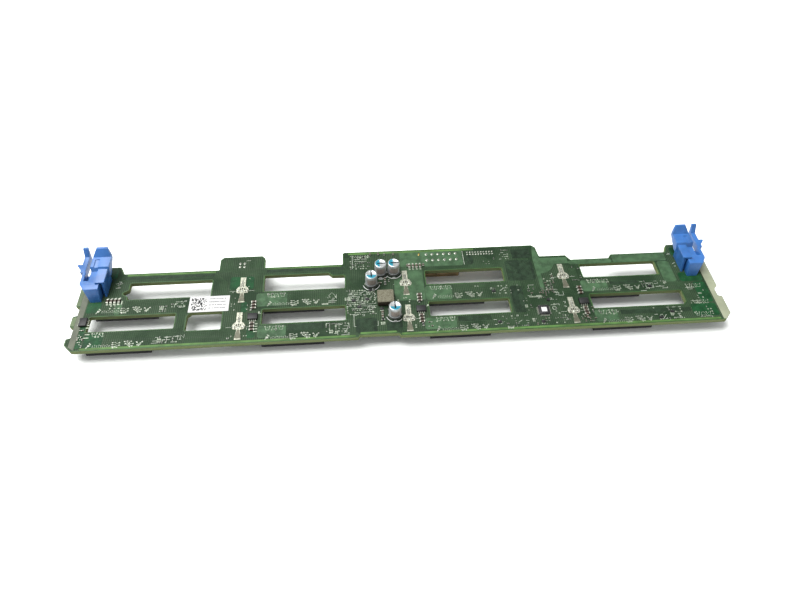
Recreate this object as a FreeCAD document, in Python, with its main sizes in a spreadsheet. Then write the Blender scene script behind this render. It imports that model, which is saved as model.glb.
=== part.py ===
"""Drive backplane board of a low rack server: two rows of four drive connectors on one board.

X runs along the board, Y up the board from its lower edge, and Z out of its rear face. The drive
connectors and the cable headers hang below the board, and the power parts stand on its rear face.
The origin is at the middle of the whole part's base.
"""
import FreeCAD, Part
import os
import re

import Sketcher

SIZES = {
    # Board: outline heights are taken from the lower edge, and set-ins from the two ends
    "board_length": 432.0,
    "board_thickness": 3.0,
    "corner_round": 0.8,
    "left_rail": 61.8,
    "tab_height": 73.4,
    "tab_corner": 2.2,
    "shelf_height": 62.4,
    "dip_height": 58.0,
    "right_rail": 61.4,
    "step_run": 2.6,
    "lobe_height": 68.3,
    "lobe_inner": 25.5,
    "lobe_outer": 14.5,
    "lobe_slope": 3.0,
    "shoulder_height": 56.5,
    "shoulder_cut": 3.0,
    "lower_corner": 5.0,
    "side_notch": 2.8,
    "notch_slope": 0.7,
    "lower_notch_low": 9.6,
    "lower_notch_high": 19.0,
    "upper_notch_low": 27.1,
    "upper_notch_high": 35.4,
    "right_notch_low": 19.3,
    "right_notch_high": 26.0,
    "right_notch_slope": 2.4,
    "foot_recess_start": 183.2,
    "foot_recess_length": 26.4,
    "foot_recess_depth": 1.8,
    # Drive connectors: the first and last columns are set in from the board's ends, with the others evenly
    # between them, and rows run from its lower edge
    "first_column": 30.5,
    "last_column": 71.5,
    "first_row": 6.8,
    "row_pitch": 26.9,
    "socket_length": 40.4,
    "socket_width": 6.2,
    "socket_height": 8.7,
    "socket_ear": 3.2,
    "socket_ear_drop": 2.2,
    "socket_wall": 1.7,
    "socket_floor": 1.6,
    "socket_bevel": 0.8,
    "contact_pitch": 1.27,
    "contact_width": 0.6,
    "contact_thickness": 0.4,
    "contact_height": 5.0,
    "power_contacts": 15,
    "signal_contacts": 7,
    "contact_gap": 1.9,
    # Air windows, placed from the column and row that they belong to
    "window_left": 19.6,
    "window_right": 34.9,
    "upper_window_low": 41.1,
    "upper_window_high": 53.3,
    "lower_window_low": 14.2,
    "lower_window_high": 26.1,
    "first_window_trim": 20.6,
    "first_window_drop": 1.9,
    "first_window_notch": 3.4,
    "second_window_rise": 1.9,
    "second_window_step": 2.6,
    "second_window_step_run": 11.0,
    "last_window_extra": 10.0,
    "small_window_start": 42.2,
    "small_window_width": 22.6,
    "small_window_low": 11.7,
    "window_chamfer": 2.4,
    # Tabs along the upper edge, placed from the column that they stand beside
    "light_tab_left": 51.0,
    "light_tab_width": 30.8,
    "tall_part_left": 76.2,
    "tall_part_width": 138.6,
    "tall_part_lean": 1.2,
    "shelf_end": 27.4,
    "dip_length": 33.0,
    # Power header
    "power_columns": 6,
    "power_pitch": 4.2,
    "power_row_gap": 5.5,
    "power_height": 12.8,
    "power_wall": 0.75,
    "power_floor": 2.6,
    "power_pin": 1.1,
    "power_pin_length": 9.4,
    "power_latch_width": 6.0,
    "power_latch_depth": 1.4,
    "power_latch_height": 7.2,
    "power_offset": 6.4,
    "power_drop": 7.6,
    # Cable headers on the drive side
    "signal_columns": 10,
    "signal_pitch": 2.0,
    "signal_height": 6.4,
    "signal_wall": 0.8,
    "signal_floor": 1.8,
    "signal_pin": 0.5,
    "signal_pin_length": 4.2,
    "signal_side": 2.4,
    "signal_offset": 21.6,
    "signal_drop": 5.4,
    "light_pitch": 3.0,
    "light_header_side": 8.8,
    "light_header_height": 8.6,
    "light_drop": 7.8,
    "data_length": 23.0,
    "data_width": 8.4,
    "data_height": 8.6,
    "data_slot_length": 16.4,
    "data_slot_width": 3.0,
    "data_slot_depth": 6.6,
    "data_tongue": 1.1,
    "data_drop": 7.2,
    "data_left_offset": 63.5,
    "data_right_offset": 46.5,
    # Capacitors
    "can_diameter": 8.0,
    "can_height": 10.0,
    "can_rim": 0.6,
    "can_groove_height": 2.4,
    "can_groove_depth": 0.4,
    "can_base": 8.3,
    "can_base_height": 1.6,
    "can_base_cut": 1.9,
    "lone_can_back": 57.0,
    "lone_can_y": 43.8,
    "can_pair_back": 45.8,
    "can_pair_gap": 9.0,
    "can_pair_y": 53.3,
    "low_can_back": 42.8,
    "low_can_y": 16.5,
    # Choke
    "choke_length": 11.0,
    "choke_width": 10.4,
    "choke_height": 4.9,
    "choke_foot": 0.4,
    "choke_round": 1.0,
    "choke_x": 48.2,
    "choke_y": 29.2,
    # Chips
    "driver_length": 6.2,
    "driver_width": 4.6,
    "driver_height": 1.6,
    "driver_back": 25.3,
    "driver_row": 20.1,
    "driver_lead": 0.45,
    "driver_lead_pitch": 1.27,
    "driver_lead_reach": 1.0,
    "controller_side": 7.0,
    "controller_height": 1.4,
    "controller_back": 53.8,
    "controller_y": 14.2,
    "controller_lead_pitch": 0.8,
    "controller_lead_reach": 1.0,
    "controller_lead": 0.35,
    "lead_thickness": 0.2,
    "sticker_side": 3.6,
    "sticker_thickness": 0.1,
    # Small ceramic parts
    "ceramic_length": 3.2,
    "ceramic_width": 1.6,
    "ceramic_height": 1.2,
    "ceramic_pitch": 2.5,
    "stack_above": 4.0,
    "stack_below": 1.75,
    "left_rank_back": 10.9,
    "left_rank_y": 38.2,
    "tab_rank_back": 29.8,
    "tab_rank_y": 57.8,
    "turned_driver_back": 22.3,
    "turned_driver_y": 21.7,
    # Ground pads
    "ground_back": 33.8,
    "ground_pad_thickness": 0.3,
    "ground_pad_hub": 43.6,
    "ground_tab_width": 3.6,
    "ground_tab_reach": 10.4,
    "ground_lobe_reach": 4.2,
    "ground_lobe_height": 4.6,
    "ground_tail_width": 4.2,
    "ground_tail_reach": 11.0,
    "ground_waist": 1.0,
    "ground_pitch": 29.8,
    # Label
    "label_length": 26.0,
    "label_width": 12.9,
    "label_thickness": 0.12,
    "label_back": 67.6,
    "label_low": 26.2,
    # Status lights on the drive side
    "lamp_length": 2.0,
    "lamp_width": 1.25,
    "lamp_height": 0.9,
    "lamp_gap": 4.6,
    # Release clips: set-ins are taken from the board's end, heights from its rear face
    "clip_reach": 74.6,
    "clip_base_low": 38.2,
    "clip_base_high": 50.0,
    "clip_slope": 3.4,
    "clip_height": 9.5,
    "clip_inner": 17.2,
    "clip_outer": 3.0,
    "clip_bevel_run": 5.6,
    "clip_bevel_rise": 8.4,
    "clip_wall": 2.0,
    "clip_floor": 0.9,
    "clip_slot": 3.2,
    "clip_slot_end": 58.6,
    "clip_rib": 2.2,
    "clip_channel": 2.8,
    "clip_groove": 0.5,
    "clip_base_gap": 1.6,
    "clip_fin": 1.3,
    "clip_panel_reach": 2.0,
    "clip_fin_back": 4.2,
    "clip_underside": 4.6,
    "clip_step": 1.5,
    "clip_tab_low": 55.0,
    "clip_tab_inner": 20.2,
    "clip_tab_skirt": 6.0,
    "clip_knee": 68.4,
    "clip_grip": 5.2,
    "clip_grip_lean": 3.0,
    "clip_grip_thickness": 1.5,
    "clip_grip_taper": 1.6,
    "right_clip_set_in": 2.2,
    "clip_barb_reach": 2.0,
    "clip_barb_low": 56.6,
    "clip_barb_high": 63.6,
    "clip_peg": 2.4,
    "clip_peg_head": 3.4,
    "clip_peg_drop": 1.6,
    "clip_peg_clearance": 0.1,
}

REAR = "power_height + board_thickness"
MIDDLE = "clip_barb_reach / 2"
CLIPS = {-1: "0", 1: "right_clip_set_in"}
ROW_NAMES = "ba"
COLUMN_NAMES = "1234"

doc = FreeCAD.newDocument("drive_backplane_board")
nodes = []


def fill_sheet():
    """Write each size into the sheet, with its name beside it and as its alias."""
    sheet = doc.addObject("Spreadsheet::Sheet", "Sizes")
    for row, (name, value) in enumerate(SIZES.items(), start=1):
        sheet.set(f"A{row}", name.replace("_", " "))
        sheet.set(f"B{row}", str(value))
        sheet.setAlias(f"B{row}", name)
    doc.recompute()


def sized(text):
    """Point each size that an expression names at its cell in the sheet."""
    return re.sub(r"[a-z_]+", lambda word: "Sizes." + word[0] if word[0] in SIZES else word[0], str(text))


def bind(item, **sizes):
    """Bind properties of an object to expressions on the sheet."""
    for name, text in sizes.items():
        item.setExpression(name, sized(text))
    return item


def place(item, x=0, y=0, z=0):
    """Place an object from the board's middle, its lower edge and its rear face."""
    item.setExpression("Placement.Base.x", sized(f"({x}) + {MIDDLE}"))
    item.setExpression("Placement.Base.y", sized(f"({y}) - clip_reach / 2"))
    item.setExpression("Placement.Base.z", sized(f"({z}) + {REAR}"))
    return item


def keep(item, label):
    """Name a finished sub-part, which is written to a file of that name."""
    item.Label = label
    nodes.append(item)
    return item


def block(name, size, centre, low):
    """Make a box of three sizes, centred on a point of the board, with its base at a height."""
    box = bind(doc.addObject("Part::Box", name), Length=size[0], Width=size[1], Height=size[2])
    return place(box, f"{centre[0]} - ({size[0]}) / 2", f"{centre[1]} - ({size[1]}) / 2", low)


def group(label, pieces):
    """Gather like pieces in one sub-part."""
    compound = doc.addObject("Part::Compound", label)
    compound.Links = pieces
    return keep(compound, label)


def sketch_on(body, role, name, height=0):
    """Lay a sketch on one of its body's own planes, lifted off it by a height."""
    plane = next(item for item in body.Origin.OriginFeatures if item.Role == role)
    sketch = body.newObject("Sketcher::SketchObject", name)
    sketch.AttachmentSupport = [(plane, "")]
    sketch.MapMode = "FlatFace"
    sketch.setExpression("AttachmentOffset.Base.z", sized(height))
    return sketch


def value_of(text):
    """Work an expression out from the sizes, to draw a sketch near its final form."""
    return float(doc.getObject("Sizes").evalExpression(sized(text)))


def trace(sketch, points):
    """Draw a closed outline whose corners are bound to pairs of expressions."""
    first = sketch.GeometryCount
    spots = [FreeCAD.Vector(value_of(x), value_of(y), 0) for x, y in points]
    count = len(spots)
    for index in range(count):
        sketch.addGeometry(Part.LineSegment(spots[index], spots[(index + 1) % count]), False)
    for index in range(count):
        following = first + (index + 1) % count
        sketch.addConstraint(Sketcher.Constraint("Coincident", first + index, 2, following, 1))
    for index, (pair, spot) in enumerate(zip(points, spots)):
        for kind, text, value in zip(("DistanceX", "DistanceY"), pair, spot):
            number = sketch.addConstraint(Sketcher.Constraint(kind, -1, 1, first + index, 1, value))
            sketch.setExpression(f"Constraints[{number}]", sized(text))


def circle(sketch, x, y, radius):
    """Draw a circle whose centre and radius are bound to expressions."""
    centre = FreeCAD.Vector(value_of(x), value_of(y), 0)
    shape = Part.Circle(centre, FreeCAD.Vector(0, 0, 1), value_of(radius))
    index = sketch.addGeometry(shape, False)
    for kind, text, value in (("DistanceX", x, centre.x), ("DistanceY", y, centre.y)):
        number = sketch.addConstraint(Sketcher.Constraint(kind, -1, 1, index, 3, value))
        sketch.setExpression(f"Constraints[{number}]", sized(text))
    number = sketch.addConstraint(Sketcher.Constraint("Radius", index, value_of(radius)))
    sketch.setExpression(f"Constraints[{number}]", sized(radius))


def rectangle(left, right, low, high):
    """Give the corners of a rectangle."""
    return [(left, low), (right, low), (right, high), (left, high)]


def new_body(name):
    """Start a body."""
    return doc.addObject("PartDesign::Body", name)


def pad(body, sketch, length, name, down=False):
    """Raise a sketch into a solid, up or down from its plane."""
    feature = body.newObject("PartDesign::Pad", name)
    feature.Profile = sketch
    feature.Reversed = down
    return bind(feature, Length=length)


def pocket(body, sketch, length, name, up=False):
    """Cut a sketch out of the body, down or up from its plane, and see that it removes something."""
    doc.recompute()
    before = body.Shape.Volume
    feature = body.newObject("PartDesign::Pocket", name)
    feature.Profile = sketch
    feature.Reversed = up
    bind(feature, Length=length)
    doc.recompute()
    if body.Shape.Volume >= before:
        raise ValueError(f"{name} cuts nothing")
    return feature


def soften(body, kind, name, size, chosen):
    """Round or bevel the edges of the body's last feature that a test picks out."""
    doc.recompute()
    base = body.Tip
    edges = [f"Edge{number}" for number, edge in enumerate(base.Shape.Edges, start=1) if chosen(edge)]
    feature = body.newObject(f"PartDesign::{kind}", name)
    feature.Base = (base, edges)
    return bind(feature, **{"Radius" if kind == "Fillet" else "Size": size})


def upright(edge):
    """Tell whether an edge stands along Z."""
    start, end = (vertex.Point for vertex in edge.Vertexes[:2]) if len(edge.Vertexes) == 2 else (None, None)
    return start is not None and abs(start.x - end.x) < 1e-6 and abs(start.y - end.y) < 1e-6


def level_at(height):
    """Give a test for the edges that lie level at a height of their body's own frame."""
    return lambda edge: all(abs(vertex.Point.z - height) < 1e-6 for vertex in edge.Vertexes)


def column(index):
    """Give the middle of a column of drive connectors, counted from the left."""
    pitch = "(board_length - first_column - last_column) / 3"
    return f"(first_column + {index} * {pitch} - board_length / 2)"


def row(index):
    """Give the middle of a row of drive connectors, counted from the lower edge."""
    return f"(first_row + {index} * row_pitch)"


def outline_points():
    """Go round the board's edge from its lower left corner, against the clock."""
    left, right = "-board_length / 2", "board_length / 2"
    recess = f"{left} + foot_recess_start"
    tall_left = f"{column(2)} - tall_part_left"
    tall_right = f"{tall_left} + tall_part_width"
    light_left = f"{column(1)} - light_tab_left"
    light_right = f"{light_left} + light_tab_width"
    shelf_right = f"{column(3)} - shelf_end"
    dip_right = f"{shelf_right} + dip_length"
    lower = [
        (f"{left} + lower_corner", "0"),
        (recess, "0"),
        (f"{recess} + foot_recess_depth / 2", "foot_recess_depth"),
        (f"{recess} + foot_recess_length", "foot_recess_depth"),
        (f"{recess} + foot_recess_length + foot_recess_depth / 2", "0"),
        (f"{right} - lower_corner", "0"),
    ]
    right_side = [
        (right, "lower_corner"),
        (right, "right_notch_low"),
        (f"{right} - side_notch", "right_notch_low + notch_slope"),
        (f"{right} - side_notch", "right_notch_high"),
        (right, "right_notch_high + right_notch_slope"),
        (right, "shoulder_height - shoulder_cut"),
        (f"{right} - shoulder_cut", "shoulder_height"),
        (f"{right} - lobe_outer", "shoulder_height"),
        (f"{right} - lobe_outer", "lobe_height"),
        (f"{right} - lobe_inner + lobe_slope", "lobe_height"),
        (f"{right} - lobe_inner", "right_rail"),
    ]
    upper = [
        (dip_right, "right_rail"),
        (f"{dip_right} - step_run", "dip_height"),
        (f"{shelf_right} + step_run", "dip_height"),
        (shelf_right, "shelf_height"),
        (f"{tall_right} + tall_part_lean", "shelf_height"),
        (tall_right, "tab_height - tab_corner"),
        (f"{tall_right} - tab_corner", "tab_height"),
        (f"{tall_left} + tab_corner / 2", "tab_height"),
        (tall_left, "tab_height - tab_corner / 2"),
        (tall_left, "shelf_height"),
        (light_right, "shelf_height"),
        (light_right, "tab_height - tab_corner"),
        (f"{light_right} - tab_corner", "tab_height"),
        (f"{light_left} + tab_corner", "tab_height"),
        (light_left, "tab_height - tab_corner"),
        (light_left, "left_rail"),
    ]
    left_side = [
        (f"{left} + lobe_inner", "left_rail"),
        (f"{left} + lobe_inner - lobe_slope", "lobe_height"),
        (f"{left} + lobe_outer", "lobe_height"),
        (f"{left} + lobe_outer", "shoulder_height"),
        (f"{left} + shoulder_cut", "shoulder_height"),
        (left, "shoulder_height - shoulder_cut"),
    ]
    for high, low in (("upper_notch_high", "upper_notch_low"), ("lower_notch_high", "lower_notch_low")):
        left_side += [
            (left, high),
            (f"{left} + side_notch", f"{high} - notch_slope"),
            (f"{left} + side_notch", f"{low} + notch_slope"),
            (left, low),
        ]
    left_side.append((left, "lower_corner"))
    return lower + right_side + upper + left_side


def window_outlines():
    """Give the outline of each air window, the upper row first."""
    left = [f"{column(index)} - window_left" for index in range(4)]
    right = [f"{column(index)} + window_right" for index in range(4)]
    first_left = f"{left[0]} + first_window_trim"
    first_low = "upper_window_low - first_window_drop"
    notch = f"{first_left} - first_window_notch"
    first = rectangle(first_left, f"{right[0]} + first_window_trim", first_low, "upper_window_high") + [
        (first_left, f"{first_low} + 2.4 * first_window_notch"),
        (notch, f"{first_low} + 1.8 * first_window_notch"),
        (notch, f"{first_low} + 1.4 * first_window_notch"),
        (first_left, f"{first_low} + 0.8 * first_window_notch"),
    ]
    raised = "upper_window_high + second_window_rise"
    lowered = f"{raised} - second_window_step"
    step = f"{right[1]} - second_window_step_run"
    second = rectangle(left[1], right[1], "upper_window_low", lowered)[:3] + [
        (f"{step} + second_window_step", lowered),
        (step, raised),
        (left[1], raised),
    ]
    upper = [first, second] + [
        rectangle(left[index], right[index], "upper_window_low", "upper_window_high") for index in (2, 3)
    ]
    lower = [
        rectangle(left[index], right[index], "lower_window_low", "lower_window_high") for index in range(3)
    ]
    last_right = f"{right[3]} + last_window_extra"
    last = [
        (left[3], "lower_window_low"),
        (f"{last_right} - window_chamfer", "lower_window_low"),
        (last_right, "lower_window_low + window_chamfer"),
        (last_right, "lower_window_high"),
        (left[3], "lower_window_high"),
    ]
    small_left = f"{column(0)} + small_window_start"
    small = rectangle(small_left, f"{small_left} + small_window_width", "small_window_low",
                      "lower_window_high")[:3] + [
        (f"{small_left} + window_chamfer", "lower_window_high"),
        (small_left, "lower_window_high - window_chamfer"),
    ]
    return upper + lower + [last, small]


def peg_places(side):
    """Give the two places where a release clip is pegged through the board."""
    end = f"(board_length / 2 - ({CLIPS[side]}))"
    return [
        (f"{side} * ({end} - clip_outer - clip_bevel_run)", "clip_base_high - 1.5 * clip_peg"),
        (f"{side} * ({end} - clip_inner + 1.5 * clip_peg)", "clip_base_low + 2.5 * clip_peg"),
    ]


def make_board():
    """Make the board with its air windows and the peg holes of the release clips."""
    body = new_body("Board")
    outline = sketch_on(body, "XY_Plane", "BoardOutline")
    trace(outline, outline_points())
    pad(body, outline, "board_thickness", "BoardPlate", down=True)
    windows = sketch_on(body, "XY_Plane", "BoardWindows")
    for points in window_outlines():
        trace(windows, points)
    pocket(body, windows, "board_thickness", "BoardWindowCuts")
    soften(body, "Fillet", "BoardCorners", "corner_round", upright)
    holes = sketch_on(body, "XY_Plane", "BoardPegHoles")
    for side in (-1, 1):
        for x, y in peg_places(side):
            circle(holes, x, y, "clip_peg / 2 + clip_peg_clearance")
    pocket(body, holes, "board_thickness", "BoardPegHoleCuts")
    place(body)
    return keep(body, "circuit_board")


def make_socket(name, x, y):
    """Make one drive connector: a black housing with a long slot for the drive's edge and its guides."""
    body = new_body(f"Socket{name}")
    plan = sketch_on(body, "XY_Plane", f"Socket{name}Plan")
    trace(plan, rectangle("-socket_length / 2", "socket_length / 2",
                          "-socket_width / 2", "socket_width / 2"))
    pad(body, plan, "socket_height", f"Socket{name}Housing", down=True)
    bottom = -value_of("socket_height")
    soften(body, "Chamfer", f"Socket{name}Bevel", "socket_bevel", level_at(bottom))
    slot_half = "(socket_length / 2 - socket_ear)"
    slot = sketch_on(body, "XY_Plane", f"Socket{name}SlotPlan", "-socket_height")
    half_gap = "(socket_width / 2 - socket_wall)"
    key = "socket_ear"
    trace(slot, [
        (f"-{slot_half}", f"-{half_gap}"),
        (slot_half, f"-{half_gap}"),
        (slot_half, half_gap),
        (f"-{slot_half} + {key}", half_gap),
        (f"-{slot_half} + {key}", f"{half_gap} + socket_wall / 3"),
        (f"-{slot_half}", f"{half_gap} + socket_wall / 3"),
    ])
    pocket(body, slot, "socket_height - socket_floor", f"Socket{name}Slot", up=True)
    ears = sketch_on(body, "XY_Plane", f"Socket{name}EarPlan", "-socket_height")
    for sign in ("-", ""):
        trace(ears, rectangle(
            f"{sign}({slot_half} + (1 - ({sign}1)) / 2 * socket_ear)",
            f"{sign}({slot_half} + (1 + ({sign}1)) / 2 * socket_ear)",
            "-socket_width / 6", "socket_width / 6"))
    pocket(body, ears, "socket_ear_drop", f"Socket{name}Guides", up=True)
    place(body, x, y, "-board_thickness")
    return keep(body, f"drive_connector_{name}")


def make_contacts(name, x, y):
    """Make the contact blades that stand in one drive connector's slot, power first and then signal."""
    start = f"({x} - socket_length / 2 + socket_ear + 2 * contact_pitch)"
    side = f"{y} - socket_width / 2 + socket_wall + contact_thickness / 2"
    low = "-board_thickness - socket_floor - contact_height"
    size = ("contact_width", "contact_thickness", "contact_height")
    power_count, signal_count = int(SIZES["power_contacts"]), int(SIZES["signal_contacts"])
    places = [f"{start} + {index} * contact_pitch" for index in range(power_count)]
    places += [
        f"{start} + {index + power_count} * contact_pitch + contact_gap" for index in range(signal_count)
    ]
    blades = [block(f"Contact{name}{index}", size, (spot, side), low) for index, spot in enumerate(places)]
    return group(f"drive_contacts_{name}", blades)


def make_power_header():
    """Make the power header: a housing with a square cell round each pin, and a latch on its side."""
    x, y = f"{column(2)} - power_offset", "tab_height - power_drop"
    half_length = "(power_columns * power_pitch / 2 + power_wall)"
    half_width = "(power_row_gap / 2 + power_pitch / 2)"
    body = new_body("PowerHeader")
    plan = sketch_on(body, "XY_Plane", "PowerHeaderPlan")
    trace(plan, rectangle(f"-{half_length}", half_length, f"-{half_width}", half_width))
    pad(body, plan, "power_height", "PowerHeaderHousing", down=True)
    latch = sketch_on(body, "YZ_Plane", "PowerLatchPlan", "-power_latch_width / 2")
    trace(latch, [
        (f"-{half_width}", "-power_height + power_latch_height"),
        (f"-{half_width} - power_latch_depth", "-power_height + power_latch_height"),
        (f"-{half_width} - power_latch_depth", "-power_height + power_latch_height * 2 / 3"),
        (f"-{half_width}", "-power_height + power_latch_height / 3"),
    ])
    pad(body, latch, "power_latch_width", "PowerLatch")
    cells = sketch_on(body, "XY_Plane", "PowerCellPlan", "-power_height")
    half_cell = "(power_pitch - power_wall) / 2"
    for column_x, row_y in header_grid("power_columns", "power_pitch", "power_row_gap"):
        trace(cells, rectangle(f"{column_x} - {half_cell}", f"{column_x} + {half_cell}",
                               f"{row_y} - {half_cell}", f"{row_y} + {half_cell}"))
    pocket(body, cells, "power_height - power_floor", "PowerCells", up=True)
    place(body, x, y, "-board_thickness")
    keep(body, "power_header")
    pins = [
        block(f"PowerPin{index}", ("power_pin", "power_pin", "power_pin_length"),
              (f"{x} + {column_x}", f"{y} + {row_y}"),
              "-board_thickness - power_floor - power_pin_length")
        for index, (column_x, row_y)
        in enumerate(header_grid("power_columns", "power_pitch", "power_row_gap"))
    ]
    group("power_pins", pins)


def header_grid(columns, pitch, row_gap):
    """Give the places of a two-row header's pins about its middle."""
    count = int(SIZES[columns])
    return [
        (f"({index} - ({columns} - 1) / 2) * {pitch}", f"{side} * {row_gap} / 2")
        for side in (-1, 1) for index in range(count)
    ]


def make_signal_header():
    """Make the two-row signal header: an open shroud with a key notch, and its fine pins."""
    x, y = f"{column(2)} + signal_offset", "tab_height - signal_drop"
    half_length = "(signal_columns * signal_pitch / 2 + signal_side)"
    half_width = "(signal_pitch + signal_wall)"
    body = new_body("SignalHeader")
    plan = sketch_on(body, "XY_Plane", "SignalHeaderPlan")
    trace(plan, rectangle(f"-{half_length}", half_length, f"-{half_width}", half_width))
    pad(body, plan, "signal_height", "SignalHeaderShroud", down=True)
    well = sketch_on(body, "XY_Plane", "SignalWellPlan", "-signal_height")
    trace(well, [
        (f"-{half_length} + signal_wall", f"-{half_width} + signal_wall"),
        ("-signal_pitch", f"-{half_width} + signal_wall"),
        ("-signal_pitch", f"-{half_width}"),
        ("signal_pitch", f"-{half_width}"),
        ("signal_pitch", f"-{half_width} + signal_wall"),
        (f"{half_length} - signal_wall", f"-{half_width} + signal_wall"),
        (f"{half_length} - signal_wall", f"{half_width} - signal_wall"),
        (f"-{half_length} + signal_wall", f"{half_width} - signal_wall"),
    ])
    pocket(body, well, "signal_height - signal_floor", "SignalWell", up=True)
    place(body, x, y, "-board_thickness")
    keep(body, "signal_header")
    pins = [
        block(f"SignalPin{index}", ("signal_pin", "signal_pin", "signal_pin_length"),
              (f"{x} + {column_x}", f"{y} + {row_y}"),
              "-board_thickness - signal_floor - signal_pin_length")
        for index, (column_x, row_y)
        in enumerate(header_grid("signal_columns", "signal_pitch", "signal_pitch"))
    ]
    group("signal_pins", pins)


def make_light_header():
    """Make the small four-way header on the left tab, with a cell round each pin."""
    x, y = f"{column(1)} - light_tab_left + light_tab_width / 2", "tab_height - light_drop"
    half = "light_header_side / 2"
    body = new_body("LightHeader")
    plan = sketch_on(body, "XY_Plane", "LightHeaderPlan")
    trace(plan, rectangle(f"-{half}", half, f"-{half}", half))
    pad(body, plan, "light_header_height", "LightHeaderHousing", down=True)
    cells = sketch_on(body, "XY_Plane", "LightCellPlan", "-light_header_height")
    spots = [(f"{across} * light_pitch / 2", f"{up} * light_pitch / 2")
             for across in (-1, 1) for up in (-1, 1)]
    half_cell = "(light_pitch - power_wall) / 2"
    for across, up in spots:
        trace(cells, rectangle(f"{across} - {half_cell}", f"{across} + {half_cell}",
                               f"{up} - {half_cell}", f"{up} + {half_cell}"))
    pocket(body, cells, "light_header_height - signal_floor", "LightCells", up=True)
    place(body, x, y, "-board_thickness")
    keep(body, "aux_header")
    pins = [
        block(f"LightPin{index}", ("signal_pin", "signal_pin", "signal_pin_length"),
              (f"{x} + {across}", f"{y} + {up}"), "-board_thickness - signal_floor - signal_pin_length")
        for index, (across, up) in enumerate(spots)
    ]
    group("aux_pins", pins)


def make_data_connector(name, x):
    """Make one four-lane data connector: a shell with a long slot, and the tongue in the slot."""
    body = new_body(f"Data{name}")
    plan = sketch_on(body, "XY_Plane", f"Data{name}Plan")
    trace(plan, rectangle("-data_length / 2", "data_length / 2", "-data_width / 2", "data_width / 2"))
    pad(body, plan, "data_height", f"Data{name}Shell", down=True)
    slot = sketch_on(body, "XY_Plane", f"Data{name}SlotPlan", "-data_height")
    trace(slot, rectangle("-data_slot_length / 2", "data_slot_length / 2",
                          "-data_slot_width / 2", "data_slot_width / 2"))
    pocket(body, slot, "data_slot_depth", f"Data{name}Slot", up=True)
    soften(body, "Fillet", f"Data{name}Corners", "socket_bevel", lambda edge: upright(edge)
           and abs(edge.CenterOfMass.x) > value_of("data_slot_length / 2") + 1)
    place(body, x, "tab_height - data_drop", "-board_thickness")
    keep(body, f"data_connector_{name}")
    tongue_size = ("data_slot_length", "data_tongue", "data_slot_depth - data_tongue")
    tongue = block(f"Data{name}Tongue", tongue_size, (x, "tab_height - data_drop"),
                   "-board_thickness - data_height + data_tongue")
    return keep(tongue, f"data_tongue_{name}")


def make_capacitor(number, x, y):
    """Make one capacitor: a can with a sloped rim and a crimp groove, on its square base."""
    base = new_body(f"CapacitorBase{number}")
    plan = sketch_on(base, "XY_Plane", f"CapacitorBase{number}Plan")
    half = "can_base / 2"
    trace(plan, [
        (f"-{half}", f"-{half} + can_base_cut"),
        (f"-{half} + can_base_cut", f"-{half}"),
        (f"{half} - can_base_cut", f"-{half}"),
        (half, f"-{half} + can_base_cut"),
        (half, half),
        (f"-{half}", half),
    ])
    pad(base, plan, "can_base_height", f"CapacitorBase{number}Plate")
    place(base, x, y)
    keep(base, f"capacitor_base_{number}")
    can = new_body(f"CapacitorCan{number}")
    profile = sketch_on(can, "XZ_Plane", f"CapacitorCan{number}Profile")
    radius, groove = "can_diameter / 2", "can_groove_height"
    trace(profile, [
        ("0", "can_base_height"),
        (radius, "can_base_height"),
        (radius, f"{groove} - can_groove_depth"),
        (f"{radius} - can_groove_depth", groove),
        (radius, f"{groove} + can_groove_depth"),
        (radius, "can_height - can_rim"),
        (f"{radius} - can_rim", "can_height"),
        ("0", "can_height"),
    ])
    turned = can.newObject("PartDesign::Revolution", f"CapacitorCan{number}Body")
    turned.Profile = profile
    turned.ReferenceAxis = (profile, ["V_Axis"])
    turned.Angle = 360
    place(can, x, y)
    return keep(can, f"capacitor_can_{number}")


def make_choke():
    """Make the choke: a rounded core held over the board by its two end terminals."""
    x, y = f"{column(2)} - choke_x", "choke_y"
    body = new_body("ChokeCore")
    plan = sketch_on(body, "XY_Plane", "ChokePlan", "choke_foot")
    trace(plan, rectangle("-choke_length / 2", "choke_length / 2", "-choke_width / 2", "choke_width / 2"))
    pad(body, plan, "choke_height - choke_foot", "ChokeBlock")
    soften(body, "Fillet", "ChokeCorners", "choke_round", upright)
    place(body, x, y)
    keep(body, "choke_core")
    feet = [
        block(f"ChokeFoot{index}", ("choke_length / 4", "choke_width / 2", "choke_foot"),
              (f"{x} + {side} * choke_length * 3 / 8", y), 0)
        for index, side in enumerate((-1, 1))
    ]
    return group("choke_terminals", feet)


def driver_places():
    """Give each driver chip's middle, and whether it stands turned, one chip to a column."""
    turned = (f"{column(0)} - turned_driver_back", "turned_driver_y", True)
    return [turned] + [(f"{column(index)} - driver_back", "driver_row", False) for index in (1, 2, 3)]


def make_drivers():
    """Make the four driver chips and the leads along their long sides."""
    leads = []
    for number, (x, y, turned) in enumerate(driver_places(), start=1):
        length, width = "driver_length", "driver_width"
        size = (width, length) if turned else (length, width)
        keep(block(f"Driver{number}", size + ("driver_height",), (x, y), 0), f"driver_chip_{number}")
        for side in (-1, 1):
            for index in range(4):
                along = f"({index} - 1.5) * driver_lead_pitch"
                away = f"{side} * (driver_width + driver_lead_reach) / 2"
                lead = ("driver_lead", "driver_lead_reach")
                across, up = (away, along) if turned else (along, away)
                spot = (f"{x} + {across}", f"{y} + {up}")
                shape = (lead[::-1] if turned else lead) + ("lead_thickness",)
                leads.append(block(f"DriverLead{number}", shape, spot, 0))
    return group("driver_chip_leads", leads)


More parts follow.
